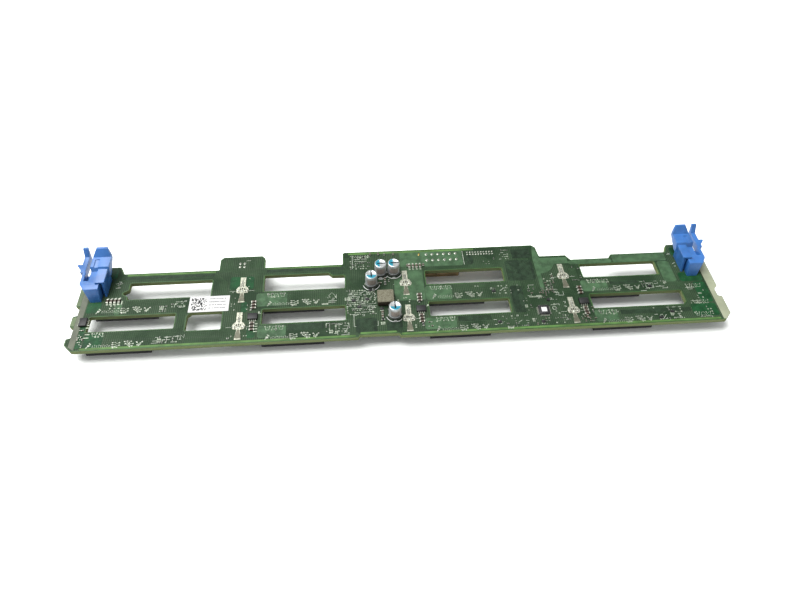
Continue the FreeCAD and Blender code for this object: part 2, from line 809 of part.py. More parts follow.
def make_controller():
    """Make the square controller chip, the leads along its four sides and the plain dot label on it."""
    x, y = f"{column(3)} - controller_back", "controller_y"
    keep(block("Controller", ("controller_side", "controller_side", "controller_height"), (x, y), 0),
         "controller_chip")
    leads = []
    away = "(controller_side + controller_lead_reach) / 2"
    upright_lead = ("controller_lead", "controller_lead_reach", "lead_thickness")
    level_lead = ("controller_lead_reach", "controller_lead", "lead_thickness")
    for side in (-1, 1):
        for index in range(8):
            along = f"({index} - 3.5) * controller_lead_pitch"
            leads.append(block("ControllerLead", upright_lead,
                               (f"{x} + {along}", f"{y} + {side} * {away}"), 0))
            leads.append(block("ControllerLead", level_lead,
                               (f"{x} + {side} * {away}", f"{y} + {along}"), 0))
    group("controller_leads", leads)
    sticker = block("Sticker", ("sticker_side", "sticker_side", "sticker_thickness"), (x, y),
                    "controller_height")
    return keep(sticker, "controller_sticker")


def make_ceramics():
    """Make the brown ceramic capacitors: stacks by the driver chips, and two rows of upright ones."""
    lying = ("ceramic_length", "ceramic_width", "ceramic_height")
    standing = ("ceramic_width", "ceramic_length", "ceramic_height")
    pieces = []
    for index in (1, 2, 3):
        x = f"{column(index)} - driver_back"
        for step in (0, 1, 2):
            reach = f"(driver_width / 2 + driver_lead_reach + {step} * ceramic_pitch)"
            pieces.append(block("Ceramic", lying, (x, f"driver_row + {reach} + stack_above"), 0))
            pieces.append(block("Ceramic", lying, (x, f"driver_row - {reach} - stack_below"), 0))
    ranks = ((f"{column(0)} - left_rank_back", "left_rank_y"),
             (f"{column(2)} - tab_rank_back", "tab_rank_y"))
    for start, y in ranks:
        for step in range(4):
            spot = (f"{start} + {step} * ceramic_pitch", y)
            pieces.append(block("Ceramic", standing, spot, 0))
    return group("ceramic_capacitors", pieces)


def make_ground_pads():
    """Make the six tinned ground pads: a tab, a hub with two lobes, and a widening tail."""
    right_half = [
        ("ground_tail_width / 2", "-ground_tail_reach"),
        ("ground_waist", "-ground_lobe_height * 0.7"),
        ("ground_lobe_reach * 0.85", "-ground_lobe_height * 0.6"),
        ("ground_lobe_reach", "-ground_lobe_height * 0.1"),
        ("ground_lobe_reach * 0.75", "ground_lobe_height * 0.4"),
        ("ground_tab_width / 2", "ground_lobe_height * 0.6"),
        ("ground_tab_width / 2", "ground_tab_reach"),
    ]
    left_half = [(f"-({x})", y) for x, y in reversed(right_half)]
    pieces = []
    for index in (1, 2, 3):
        for lift in (0, 1):
            sketch = doc.addObject("Sketcher::SketchObject", "GroundPadPlan")
            trace(sketch, right_half + left_half)
            place(sketch, f"{column(index)} - ground_back", f"ground_pad_hub - {lift} * ground_pitch")
            pad_solid = doc.addObject("Part::Extrusion", "GroundPad")
            pad_solid.Base = sketch
            pad_solid.DirMode = "Normal"
            pad_solid.Solid = True
            pieces.append(bind(pad_solid, LengthFwd="ground_pad_thickness"))
    return group("ground_pads", pieces)


def make_label():
    """Make the plain paper label beside the small window."""
    x = f"{column(1)} - label_back + label_length / 2"
    label = block("Label", ("label_length", "label_width", "label_thickness"),
                  (x, "label_low + label_width / 2"), 0)
    return keep(label, "paper_label")


def make_lamps():
    """Make the status lights, two beside the end of each drive connector."""
    lamps = []
    for line in range(2):
        for index in range(4):
            x = f"{column(index)} + socket_length / 2 + lamp_gap"
            for side in (-1, 1):
                lamps.append(block("Lamp", ("lamp_length", "lamp_width", "lamp_height"),
                                   (x, f"{row(line)} + {side} * lamp_width * 1.4"),
                                   "-board_thickness - lamp_height"))
    return group("status_lights", lamps)


def make_clip(label, side):
    """Make one release clip in one piece: a pegged base, a barbed spring arm and a squeeze tab."""

    def across(inset):
        """Turn a set-in from the board's end into a place along the board."""
        return f"{side} * (board_length / 2 - ({CLIPS[side]}) - ({inset}))"

    def plan(name, points, low):
        """Trace an outline of set-ins and heights up the board on a level of the clip."""
        sketch = sketch_on(body, "XY_Plane", f"{name}Plan", low)
        trace(sketch, [(across(inset), y) for inset, y in points])
        return sketch

    def profile(name, points, inner, outer):
        """Pad an outline seen from the board's end across the clip, between two set-ins."""
        sketch = sketch_on(body, "YZ_Plane", f"{name}Profile", across(inner) if side > 0 else across(outer))
        trace(sketch, points)
        return pad(body, sketch, f"({inner}) - ({outer})", name)

    body = new_body(f"Clip{'Left' if side < 0 else 'Right'}")
    profile("ClipBase", [
        ("clip_base_low", "0"),
        ("clip_base_high", "0"),
        ("clip_base_high", "clip_height"),
        ("clip_base_low + clip_slope", "clip_height"),
    ], "clip_inner - clip_base_gap", "clip_outer")
    bevel = plan("ClipBevel", [
        ("clip_outer", "clip_base_low"),
        ("clip_outer + clip_bevel_run", "clip_base_low"),
        ("clip_outer", "clip_base_low + clip_bevel_rise"),
    ], "0")
    pocket(body, bevel, "clip_height", "ClipBevel", up=True)
    slot_outer = "clip_outer + clip_wall"
    slot_inner = f"{slot_outer} + clip_slot"
    rib_inner = f"{slot_inner} + clip_rib"
    fin_inner = "clip_inner + clip_fin"
    deck = plan("ClipDeck", rectangle("clip_outer", "clip_inner", "clip_base_high", "clip_slot_end"),
                "clip_underside")
    pad(body, deck, "clip_height - clip_underside", "ClipDeck")
    profile("ClipFin", [
        ("clip_base_low + clip_fin_back", "0"),
        ("clip_slot_end - clip_fin", "0"),
        ("clip_slot_end", "clip_underside"),
        ("clip_slot_end", "clip_height"),
        ("clip_base_low + clip_fin_back + clip_slope", "clip_height"),
    ], fin_inner, "clip_inner")
    panel = plan("ClipPanel", rectangle(f"{rib_inner} + clip_channel", "clip_inner + clip_panel_reach",
                                        "clip_base_high - clip_fin_back", "clip_slot_end"), "clip_height")
    pad(body, panel, "clip_step", "ClipPanel")
    tab_top = "clip_height + 2 * clip_step"
    profile("ClipTab", [
        ("clip_tab_low", "clip_tab_skirt"),
        ("clip_tab_low + clip_slope", "clip_tab_skirt"),
        ("clip_knee", f"{tab_top} - clip_wall"),
        ("clip_knee + clip_grip_lean", f"{tab_top} + clip_grip"),
        ("clip_knee + clip_grip_lean - clip_grip_thickness", f"{tab_top} + clip_grip"),
        ("clip_knee - clip_grip_thickness", tab_top),
        ("clip_tab_low + clip_slope", tab_top),
    ], "clip_tab_inner", slot_inner)
    trim = sketch_on(body, "XZ_Plane", "ClipGripTrimPlan", "-clip_reach")
    for foot, taper in ((slot_inner, "2 * clip_grip_taper"), ("clip_tab_inner", "-clip_grip_taper")):
        trace(trim, [(across(inset), z) for inset, z in (
            (foot, tab_top),
            (f"{foot} + {taper}", f"{tab_top} + clip_grip"),
            (foot, f"{tab_top} + clip_grip"),
        )])
    pocket(body, trim, "clip_reach - clip_slot_end", "ClipGripTrim", up=True)
    channel = plan("ClipChannel", rectangle(rib_inner, f"{rib_inner} + clip_channel",
                                            "clip_base_high - clip_step", "clip_knee - clip_slope"),
                   f"{tab_top} - clip_groove")
    pocket(body, channel, "clip_groove", "ClipChannel", up=True)
    arm_outer = "clip_outer - clip_wall"
    profile("ClipArm", [
        ("clip_slot_end - clip_wall", "clip_underside"),
        ("clip_reach - clip_grip_lean", "clip_underside"),
        ("clip_reach", "clip_height + clip_grip"),
        ("clip_reach - clip_grip_thickness", "clip_height + clip_grip"),
        ("clip_reach - clip_grip_thickness - clip_grip_lean", "clip_height"),
        ("clip_slot_end - clip_wall", "clip_height"),
    ], "clip_outer + clip_wall * 2 / 3", arm_outer)
    barb = plan("ClipBarb", [
        ("clip_outer", "clip_barb_low"),
        ("-clip_barb_reach", "clip_barb_high - clip_wall / 2"),
        ("-clip_barb_reach", "clip_barb_high"),
        ("clip_outer", "clip_barb_high"),
    ], "clip_underside")
    pad(body, barb, "clip_height - clip_underside", "ClipBarb")
    slot = plan("ClipSlot", rectangle(slot_outer, slot_inner, "clip_base_high - clip_wall / 2", "clip_knee"),
                "clip_underside + clip_floor")
    pocket(body, slot, "clip_height", "ClipSlot", up=True)
    mouth = plan("ClipMouth", rectangle("clip_outer + clip_wall * 2 / 3", slot_inner, "clip_barb_low",
                                        "clip_knee"), "0")
    pocket(body, mouth, "clip_height", "ClipMouth", up=True)
    for index, (x, y) in enumerate(peg_places(side)):
        for part, radius, level, drop in (("Peg", "clip_peg / 2", "0", "board_thickness"),
                                          ("PegHead", "clip_peg_head / 2", "-board_thickness",
                                           "clip_peg_drop")):
            sketch = sketch_on(body, "XY_Plane", f"Clip{part}{index}Plan", level)
            circle(sketch, x, y, radius)
            pad(body, sketch, drop, f"Clip{part}{index}", down=True)
    place(body)
    return keep(body, label)


def check_and_write():
    """See that every object is sound, then write each sub-part to its own file."""
    doc.recompute()
    for item in doc.Objects:
        if "Invalid" in item.State or "Error" in item.State:
            raise ValueError(f"{item.Name} ({item.Label}) failed: {item.State}")
    os.makedirs("parts", exist_ok=True)
    for node in nodes:
        shape = node.Shape
        if shape.isNull() or not shape.isValid() or not shape.Solids:
            raise ValueError(f"{node.Label} has no sound solid")
        print(f"{node.Label}: {len(shape.Solids)} solids, {shape.Volume:.1f} mm3")
    for node in nodes:
        node.Shape.exportStep(f"parts/{node.Label}.step")


fill_sheet()
make_board()
for line, row_name in enumerate(ROW_NAMES):
    for number, column_name in enumerate(COLUMN_NAMES):
        make_socket(row_name + column_name, column(number), row(line))
        make_contacts(row_name + column_name, column(number), row(line))
make_power_header()
make_signal_header()
make_light_header()
make_data_connector("left", f"{column(2)} - data_left_offset")
make_data_connector("right", f"{column(2)} + data_right_offset")
make_capacitor(1, f"{column(2)} - lone_can_back", "lone_can_y")
make_capacitor(2, f"{column(2)} - can_pair_back - can_pair_gap / 2", "can_pair_y")
make_capacitor(3, f"{column(2)} - can_pair_back + can_pair_gap / 2", "can_pair_y")
make_capacitor(4, f"{column(2)} - low_can_back", "low_can_y")
make_choke()
make_drivers()
make_controller()
make_ceramics()
make_ground_pads()
make_label()
make_lamps()
make_clip("left_release_clip", -1)
make_clip("right_release_clip", 1)
check_and_write()
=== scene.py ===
"""Drive backplane board, dressed: finishes, solder joints, traces, printed marks and small parts.

Lengths inside the classes are millimetres on the board: `along` runs from the board's middle to its right
end, `up` from its lower edge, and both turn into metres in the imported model's frame in `Board.spot`.
"""

import logging
import math
import random
from collections.abc import Iterable, Sequence
from dataclasses import dataclass, field
from enum import Enum

import bmesh
import bpy
from mathutils import Matrix, Vector
from mathutils.bvhtree import BVHTree


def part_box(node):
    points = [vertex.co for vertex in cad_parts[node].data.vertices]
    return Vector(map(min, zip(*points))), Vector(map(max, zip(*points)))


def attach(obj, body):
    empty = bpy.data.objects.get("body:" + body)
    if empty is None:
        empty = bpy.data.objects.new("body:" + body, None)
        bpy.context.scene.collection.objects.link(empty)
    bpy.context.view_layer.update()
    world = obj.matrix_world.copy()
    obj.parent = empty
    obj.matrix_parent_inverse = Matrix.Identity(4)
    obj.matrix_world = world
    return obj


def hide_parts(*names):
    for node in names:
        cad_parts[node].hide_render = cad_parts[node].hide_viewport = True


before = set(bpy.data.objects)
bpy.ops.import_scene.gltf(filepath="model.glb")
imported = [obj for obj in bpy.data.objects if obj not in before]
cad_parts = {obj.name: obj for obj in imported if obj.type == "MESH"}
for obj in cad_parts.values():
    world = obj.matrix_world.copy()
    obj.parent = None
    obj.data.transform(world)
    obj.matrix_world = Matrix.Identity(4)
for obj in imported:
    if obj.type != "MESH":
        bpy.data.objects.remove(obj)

MM = 0.001
# the share of a written colour that a material gets; Studio's light is brighter by as much
DIM = 0.6
WHITE = (1.0, 1.0, 1.0, 1.0)
NIGHT = (0.0, 0.0, 0.0, 1.0)
SMOOTH_BELOW = 35
TOUCHING = 1e-6
COLUMNS = (1, 2, 3, 4)
ROWS = ("b", "a")
SIDES = (-1, 1)
log = logging.getLogger("backplane")

Point = tuple[float, float]
Colour = tuple[float, float, float]


def paint(red: float, green: float, blue: float) -> tuple[float, float, float, float]:
    """Turn an eight-bit screen colour into a linear one, dimmed for a floor that is lit to full white.

    Args:
        red: Red, 0 to 255.
        green: Green, 0 to 255.
        blue: Blue, 0 to 255.

    Returns:
        The linear colour with an alpha of 1.
    """
    def linear(level: float) -> float:
        """Undo the screen's curve for one channel."""
        part = level / 255
        return DIM * (part / 12.92 if part <= 0.04045 else ((part + 0.055) / 1.055) ** 2.4)

    return linear(red), linear(green), linear(blue), 1.0


# ---------------------------------------------------------------- shader maths


class Value:
    """A shader output that takes part in Python expressions."""

    def __init__(self, shader: "Shader", socket: bpy.types.NodeSocket) -> None:
        """Keep the shader that the socket belongs to."""
        self.shader = shader
        self.socket = socket

    def _math(self, operation: str, *inputs: "Value | float") -> "Value":
        """Add one Math node.

        Args:
            operation: The Math node's operation.
            inputs: Its inputs in order.

        Returns:
            The node's output.
        """
        node = self.shader.add("ShaderNodeMath", {"operation": operation}, dict(enumerate(inputs)))
        return Value(self.shader, node.outputs[0])

    def __add__(self, other: "Value | float") -> "Value":
        """Add."""
        return self._math("ADD", self, other)

    def __radd__(self, other: float) -> "Value":
        """Add from the right."""
        return self._math("ADD", other, self)

    def __sub__(self, other: "Value | float") -> "Value":
        """Take away."""
        return self._math("SUBTRACT", self, other)

    def __rsub__(self, other: float) -> "Value":
        """Take this from a number."""
        return self._math("SUBTRACT", other, self)

    def __mul__(self, other: "Value | float") -> "Value":
        """Multiply."""
        return self._math("MULTIPLY", self, other)

    def __rmul__(self, other: float) -> "Value":
        """Multiply from the right."""
        return self._math("MULTIPLY", other, self)

    def __gt__(self, other: "Value | float") -> "Value":
        """Give 1 where this is greater."""
        return self._math("GREATER_THAN", self, other)

    def __lt__(self, other: "Value | float") -> "Value":
        """Give 1 where this is less."""
        return self._math("LESS_THAN", self, other)

    def __abs__(self) -> "Value":
        """Drop the sign."""
        return self._math("ABSOLUTE", self)

    def power(self, exponent: float) -> "Value":
        """Raise to a power."""
        return self._math("POWER", self, exponent)

    def capped(self) -> "Value":
        """Keep at 1 or less."""
        return self._math("MINIMUM", self, 1.0)

    def wave(self, period: float) -> "Value":
        """Swing between 0 and 1 with the given period."""
        return self._math("SINE", self * (2 * math.pi / period)) * 0.5 + 0.5

    def ramp(self, low: float, high: float) -> "Value":
        """Rise smoothly from 0 at low to 1 at high."""
        node = self.shader.add("ShaderNodeMapRange", {"interpolation_type": "SMOOTHSTEP"},
                               {"Value": self, "From Min": low, "From Max": high})
        return Value(self.shader, node.outputs["Result"])


class Shader:
    """One material or the sky under construction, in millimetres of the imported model's frame."""

    def __init__(self, name: str, sky: bpy.types.World | None = None) -> None:
        """Start an empty material, or empty the given sky's nodes."""
        self.made = sky or bpy.data.materials.new(name)
        self.made.use_nodes = True
        self.tree = self.made.node_tree
        self.tree.nodes.clear()

    def add(self, kind: str, settings: dict | None = None, inputs: dict | None = None) -> bpy.types.Node:
        """Add one node.

        Args:
            kind: The node's type.
            settings: Properties to set first, such as a Math node's operation.
            inputs: Values, or other nodes' outputs, by socket name, identifier or number.

        Returns:
            The node.
        """
        node = self.tree.nodes.new(kind)
        for key, value in (settings or {}).items():
            setattr(node, key, value)
        for key, value in (inputs or {}).items():
            socket = self.pick(node.inputs, key)
            if isinstance(value, Value):
                self.tree.links.new(value.socket, socket)
            else:
                socket.default_value = value
        return node

    @staticmethod
    def pick(sockets: bpy.types.bpy_prop_collection, key: str | int) -> bpy.types.NodeSocket:
        """Find a socket.

        Args:
            sockets: A node's inputs or outputs.
            key: The socket's number, identifier or name.

        Returns:
            The socket.
        """
        if isinstance(key, int):
            return sockets[key]
        for socket in sockets:
            if socket.identifier == key:
                return socket
        return sockets[key]

    def place(self, centre: Sequence[float] = (0, 0, 0), turn: float = 0.0) -> Value:
        """Give the place on the piece in millimetres, from a centre and turned about Z.

        Args:
            centre: The pattern's middle, in metres.
            turn: The pattern's turn about Z, in radians.

        Returns:
            The place as a vector.
        """
        source = self.add("ShaderNodeTexCoord")
        moved = self.add("ShaderNodeVectorMath", {"operation": "SUBTRACT"},
                         {0: Value(self, source.outputs["Object"]), 1: tuple(centre)})
        turned = self.add("ShaderNodeVectorRotate", {"rotation_type": "Z_AXIS"},
                          {"Vector": Value(self, moved.outputs[0]), "Angle": -turn})
        scaled = self.add("ShaderNodeVectorMath", {"operation": "SCALE"},
                          {0: Value(self, turned.outputs[0]), "Scale": 1 / MM})
        return Value(self, scaled.outputs[0])

    def parts(self, vector: Value) -> tuple[Value, Value, Value]:
        """Split a vector into its three numbers."""
        node = self.add("ShaderNodeSeparateXYZ", inputs={0: vector})
        return tuple(Value(self, output) for output in node.outputs)

    def noise(self, size: float, detail: float = 3.0, place: Value | None = None) -> Value:
        """Give noise from 0 to 1 whose features are `size` millimetres across."""
        node = self.add("ShaderNodeTexNoise", None,
                        {"Vector": place or self.place(), "Scale": 1 / size, "Detail": detail})
        return Value(self, node.outputs[0])

    def mix(self, share: Value | float, first: Value | Sequence[float],
            second: Value | Sequence[float]) -> Value:
        """Blend two colours, from the first at a share of 0 to the second at 1."""
        node = self.add("ShaderNodeMix", {"data_type": "RGBA"},
                        {"Factor_Float": share, "A_Color": first, "B_Color": second})
        return Value(self, self.pick(node.outputs, "Result_Color"))

    def bump(self, height: Value, depth: float) -> Value:
        """Turn a height from 0 to 1 into a normal, for a relief of `depth` millimetres."""
        node = self.add("ShaderNodeBump", None, {"Height": height, "Distance": depth * MM, "Strength": 1.0})
        return Value(self, node.outputs[0])

    def surface(self, **sockets: "Value | float | Sequence[float]") -> bpy.types.Material:
        """Finish the material with one Principled shader.

        Args:
            sockets: Values by socket name, with underscores for spaces.

        Returns:
            The material.
        """
        shader = self.add("ShaderNodeBsdfPrincipled", None,
                          {name.replace("_", " "): value for name, value in sockets.items()})
        self.add("ShaderNodeOutputMaterial", None, {"Surface": Value(self, shader.outputs[0])})
        return self.made


# ---------------------------------------------------------------- finishes


@dataclass(frozen=True)
class Plastic:
    """Moulded plastic, paper, ceramic or epoxy: a colour with mottling and fine grain."""

    name: str
    colour: Colour
    roughness: float = 0.45
    mottle: float = 0.10
    mottle_size: float = 6.0
    grain_size: float = 0.22
    relief: float = 0.012
    scuff: float = 0.06
    glow: float = 0.0
    sheen: float = 0.35
    scuffed: Colour = (225, 225, 225)

    def material(self) -> bpy.types.Material:
        """Build the material."""
        shader = Shader(self.name)
        mottle = shader.noise(self.mottle_size)
        grain = shader.noise(self.grain_size, 2.0)
        dark = tuple(level * (1 - self.mottle) for level in self.colour)
        light = tuple(min(255.0, level * (1 + self.mottle * 0.6) + 3) for level in self.colour)
        base = shader.mix(mottle.ramp(0.3, 0.7), paint(*dark), paint(*light))
        base = shader.mix(grain.ramp(0.55, 0.8) * self.scuff, base, paint(*self.scuffed))
        return shader.surface(
            Base_Color=base,
            Roughness=mottle * 0.12 + (self.roughness - 0.06),
            Normal=shader.bump(grain, self.relief),
            Specular_IOR_Level=self.sheen,
            Subsurface_Weight=self.glow,
            Subsurface_Scale=0.5 * MM,
        )


@dataclass(frozen=True)
class Metal:
    """Plated or drawn metal: a colour with dull patches, fine scratches and soft relief."""

    name: str
    colour: Colour
    roughness: float = 0.3
    dull: float = 0.25
    grain_size: float = 0.35
    relief: float = 0.01
    metallic: float = 1.0
    patch_size: float = 1.6

    def material(self) -> bpy.types.Material:
        """Build the material."""
        shader = Shader(self.name)
        patch = shader.noise(self.patch_size)
        grain = shader.noise(self.grain_size, 3.0)
        dark = tuple(level * (1 - self.dull) for level in self.colour)
        return shader.surface(
            Base_Color=shader.mix(patch.ramp(0.35, 0.75), paint(*self.colour), paint(*dark)),
            Metallic=self.metallic,
            Roughness=grain * 0.3 + (self.roughness - 0.12),
            Normal=shader.bump(grain, self.relief),
        )


@dataclass(frozen=True)
class SolderMask:
    """Green solder mask over the board's sheet, with the glass-fibre core bare on every routed edge."""

    name: str = "board_mask"
    dark: Colour = (36, 59, 37)
    grey: Colour = (54, 73, 52)
    hatch: Colour = (94, 120, 90)
    hatch_pitch: float = 1.27
    edge: Colour = (146, 158, 112)
    edge_dark: Colour = (112, 124, 82)
    fibre: Colour = (96, 120, 92)
    roughness: float = 0.45
    skin: float = 0.08
    cloud_size: float = 22.0
    fibre_size: float = 0.7
    layer_pitch: float = 0.55

    def material(self, rear: float, front: float) -> bpy.types.Material:
        """Build the material.

        Args:
            rear: The height of the rear face, in metres.
            front: The height of the drive-side face, in metres.

        Returns:
            The material.
        """
        shader = Shader(self.name)
        place = shader.place()
        across, along, height = shader.parts(place)
        inside = (height > front / MM + self.skin) * (height < rear / MM - self.skin)
        cloud = shader.noise(self.cloud_size, 4.0, place)
        fibre = shader.noise(self.fibre_size, 2.0, place)
        mask = shader.mix(cloud.ramp(0.35, 0.65), paint(*self.dark), paint(*self.grey))
        ticks = across.wave(self.hatch_pitch).ramp(0.35, 0.95)
        hatch = ticks * (along.wave(self.hatch_pitch).ramp(0.2, 0.9) * 0.7 + 0.3)
        mask = shader.mix(hatch * (cloud.ramp(0.35, 0.6) * 0.5 + 0.1), mask, paint(*self.hatch))
        mask = shader.mix(fibre.ramp(0.5, 0.8) * 0.12, mask, paint(*self.fibre))
        layers = height.wave(self.layer_pitch) * 0.5 + fibre * 0.5
        core = shader.mix(layers.ramp(0.35, 0.75), paint(*self.edge_dark), paint(*self.edge))
        return shader.surface(
            Base_Color=shader.mix(inside, mask, core),
            Roughness=inside * 0.35 + fibre * 0.1 + self.roughness,
            Normal=shader.bump(fibre, 0.015),
            Specular_IOR_Level=0.1,
        )


@dataclass(frozen=True)
class CanMetal:
    """Drawn capacitor can: brushed silver with a printed dark vent line and a blue segment on its top, a
    painted brown reflection down the middle of its side, and painted shade in the crimp groove above its
    foot.
    """

    name: str
    silver: Colour = (240, 244, 244)
    dull: Colour = (204, 210, 210)
    print_blue: Colour = (62, 172, 198)
    line: Colour = (16, 40, 48)
    # painted reflection: the brown that the can's side mirrors down its middle
    reflection_brown: Colour = (176, 158, 148)
    # painted shade: the dark grey of the crimp groove
    groove: Colour = (60, 66, 62)
    top_depth: float = 0.35
    print_radius: float = 3.45
    segment_below: float = -0.5
    line_half: float = 0.5
    line_low: float = -2.2
    # where the painted reflection fades out sideways, and how far it keeps from the top and the foot
    reflection_fade: tuple[float, float] = (2.3, 3.5)
    reflection_below_top: float = 2.0
    reflection_above_foot: float = 1.7
    groove_height: float = 1.0
    groove_half: float = 0.3

    def material(self, centre: Vector, low: float, top: float, turn: float) -> bpy.types.Material:
        """Build the material for one can.

        Args:
            centre: The can's axis, in metres.
            low: The height of the can's foot, in metres.
            top: The height of the can's top, in metres.
            turn: The turn of the printed mark about Z, in radians.

        Returns:
            The material.
        """
        shader = Shader(self.name)
        place = shader.place((centre.x, centre.y, top), turn)
        across, along, below = shader.parts(place)
        aside, _, above = shader.parts(shader.place((centre.x, centre.y, low)))
        grain = shader.noise(0.5, 3.0, place)
        on_top = below > -self.top_depth
        radius = (across * across + along * along).power(0.5)
        face = (radius < self.print_radius) * on_top
        segment = face * (along < self.segment_below)
        vent = face * (abs(across) < self.line_half) * (along > self.line_low)
        base = shader.mix(grain.ramp(0.3, 0.8), paint(*self.silver), paint(*self.dull))
        # painted reflection: a brown band down the middle of the side, strongest front and back, fading
        # sideways
        painted_reflection = (1 - abs(aside).ramp(*self.reflection_fade)) * (below < -self.reflection_below_top)
        painted_reflection = painted_reflection * (above > self.reflection_above_foot)
        # painted shade in the crimp groove round the can above its foot
        groove = abs(above - self.groove_height) < self.groove_half
        base = shader.mix(painted_reflection * 0.85, base, paint(*self.reflection_brown))
        base = shader.mix(groove * 0.8, base, paint(*self.groove))
        base = shader.mix(segment, base, paint(*self.print_blue))
        base = shader.mix(vent, base, paint(*self.line))
        # less metallic under the print and under the painted reflection
        print_and_reflection = (segment + vent + painted_reflection * 0.6).capped()
        return shader.surface(
            Base_Color=base,
            Metallic=on_top * 0.35 - print_and_reflection * 0.3 + 0.35,
            Roughness=grain * 0.16 + 0.22,
            Normal=shader.bump(below.wave(0.35) * 0.3 + grain * 0.7, 0.006),
        )


@dataclass(frozen=True)
class PressedIron:
    """The choke's body: a mottled tan top over sides darkened with painted shade."""

    name: str = "pressed_iron"
    pale: Colour = (144, 142, 122)
    dark: Colour = (108, 104, 86)
    # painted shade: the dark brown that the side walls get
    side: Colour = (56, 46, 38)
    grain_size: float = 0.55
    top_depth: float = 0.5

    def material(self, top: float) -> bpy.types.Material:
        """Build the material.

        Args:
            top: The height of the choke's top, in metres.

        Returns:
            The material.
        """
        shader = Shader(self.name)
        place = shader.place()
        height = shader.parts(place)[2]
        grain = shader.noise(self.grain_size, 3.0, place)
        face = shader.mix(grain.ramp(0.35, 0.65), paint(*self.dark), paint(*self.pale))
        # painted shade on every wall below the top face
        shaded_wall = shader.mix(grain.ramp(0.4, 0.7) * 0.5, paint(*self.side), paint(*self.dark))
        return shader.surface(
            Base_Color=shader.mix(height > top / MM - self.top_depth, shaded_wall, face),
            Roughness=grain * 0.2 + 0.6,
            Normal=shader.bump(grain, 0.05),
            Specular_IOR_Level=0.15,
        )


class Finish(Enum):
    """The finishes that pieces share."""

    TRACE = Plastic("trace_under_mask", (68, 96, 66), 0.45, 0.12, 9.0, sheen=0.1)
    POUR = Plastic("copper_under_mask", (74, 105, 74), 0.45, 0.14, 5.0, 0.9, sheen=0.12)
    # darker copper areas, and painted shadow on the board beside the two clips
    DEEP_POUR_AND_CLIP_SHADOW = Plastic("deep_copper_and_clip_shadow", (26, 78, 42), 0.45, 0.14, 5.0, 0.9, sheen=0.12)
    DENSE = Plastic("dense_routing", (40, 58, 42), 0.45, 0.18, 3.0, 0.5, sheen=0.1)
    # painted highlight: the brighter green strip along every edge
    EDGE_HIGHLIGHT = Plastic("painted_edge_highlight", (60, 100, 48), 0.45, 0.12, 5.0, 0.5, sheen=0.25)
    # painted highlight: pale green bands along the board's edges
    HIGHLIGHT_BAND = Plastic("painted_edge_band_highlight", (94, 132, 72), 0.45, 0.16, 9.0, 0.5, sheen=0.12)
    PAD_TIN = Metal("tinned_pads", (184, 196, 174), 0.45, 0.3, 0.4, 0.02, 0.4)
    TIN = Metal("tinned_copper", (206, 210, 196), 0.34, 0.2, 0.3, 0.02, 0.7)
    DULL_TIN = Metal("dull_ground_tin", (216, 218, 196), 0.42, 0.35, 0.6, 0.05, 0.5)
    GREY_TIN = Metal("grey_ground_tin", (118, 118, 98), 0.5, 0.2, 0.8, 0.02, 0.4)
    GOLD = Metal("gold_plating", (226, 190, 112), 0.26, 0.2)
    HOLE = Plastic("plated_hole", (24, 30, 22), 0.6)
    SILK = Plastic("white_print", (222, 230, 214), 0.6, 0.1, 1.5)
    GREY_BASE = Plastic("grey_base", (84, 88, 84), 0.45, 0.1, 2.0)
    # white arcs round the cans: partly a printed ring, partly a painted highlight
    RING_AND_HIGHLIGHT = Plastic("ring_print_and_highlight", (246, 248, 244), 0.5, 0.06, 1.5)
    BROWN = Plastic("brown_ceramic", (90, 76, 64), 0.4, 0.14, 0.8)
    EPOXY = Plastic("black_epoxy", (34, 35, 36), 0.5, 0.15, 2.0, 0.12, 0.02)
    BLACK = Plastic("black_moulding", (46, 46, 50), 0.42, 0.12, 5.0)
    CREAM = Plastic("tan_moulding", (176, 148, 104), 0.5, 0.1, 5.0)
    BLUE = Plastic("blue_moulding", (58, 122, 200), 0.38, 0.07, 9.0, 0.3, 0.008, 0.03, 0.12, 0.5)
    PAPER = Plastic("label_paper", (240, 240, 238), 0.62, 0.03, 5.0, 0.15, 0.01)
    INK = Plastic("label_ink", (44, 46, 48), 0.6, 0.1, 0.8)
    PALE_INK = Plastic("label_pale_ink", (128, 130, 132), 0.6, 0.1, 0.8)
    BARE = Plastic("bare_edge_strip", (168, 174, 146), 0.62, 0.08, 12.0, 0.6)
    GREY_BARE = Plastic("grey_edge_strip", (104, 110, 92), 0.6, 0.12, 8.0, 0.6)
    GREEN_BARE = Plastic("green_edge_tab", (110, 130, 92), 0.6, 0.12, 6.0, 0.6)
    LENS = Plastic("light_lens", (226, 232, 196), 0.2, 0.05, 1.0)


_MATERIALS: dict[Finish, bpy.types.Material] = {}


def material_of(finish: Finish | bpy.types.Material) -> bpy.types.Material:
    """Give a finish's material, built once if it is shared.

    Args:
        finish: A shared finish, or a material.

    Returns:
        The material.
    """
    if not isinstance(finish, Finish):
        return finish
    if finish not in _MATERIALS:
        _MATERIALS[finish] = finish.value.material()
    return _MATERIALS[finish]


# ---------------------------------------------------------------- pieces


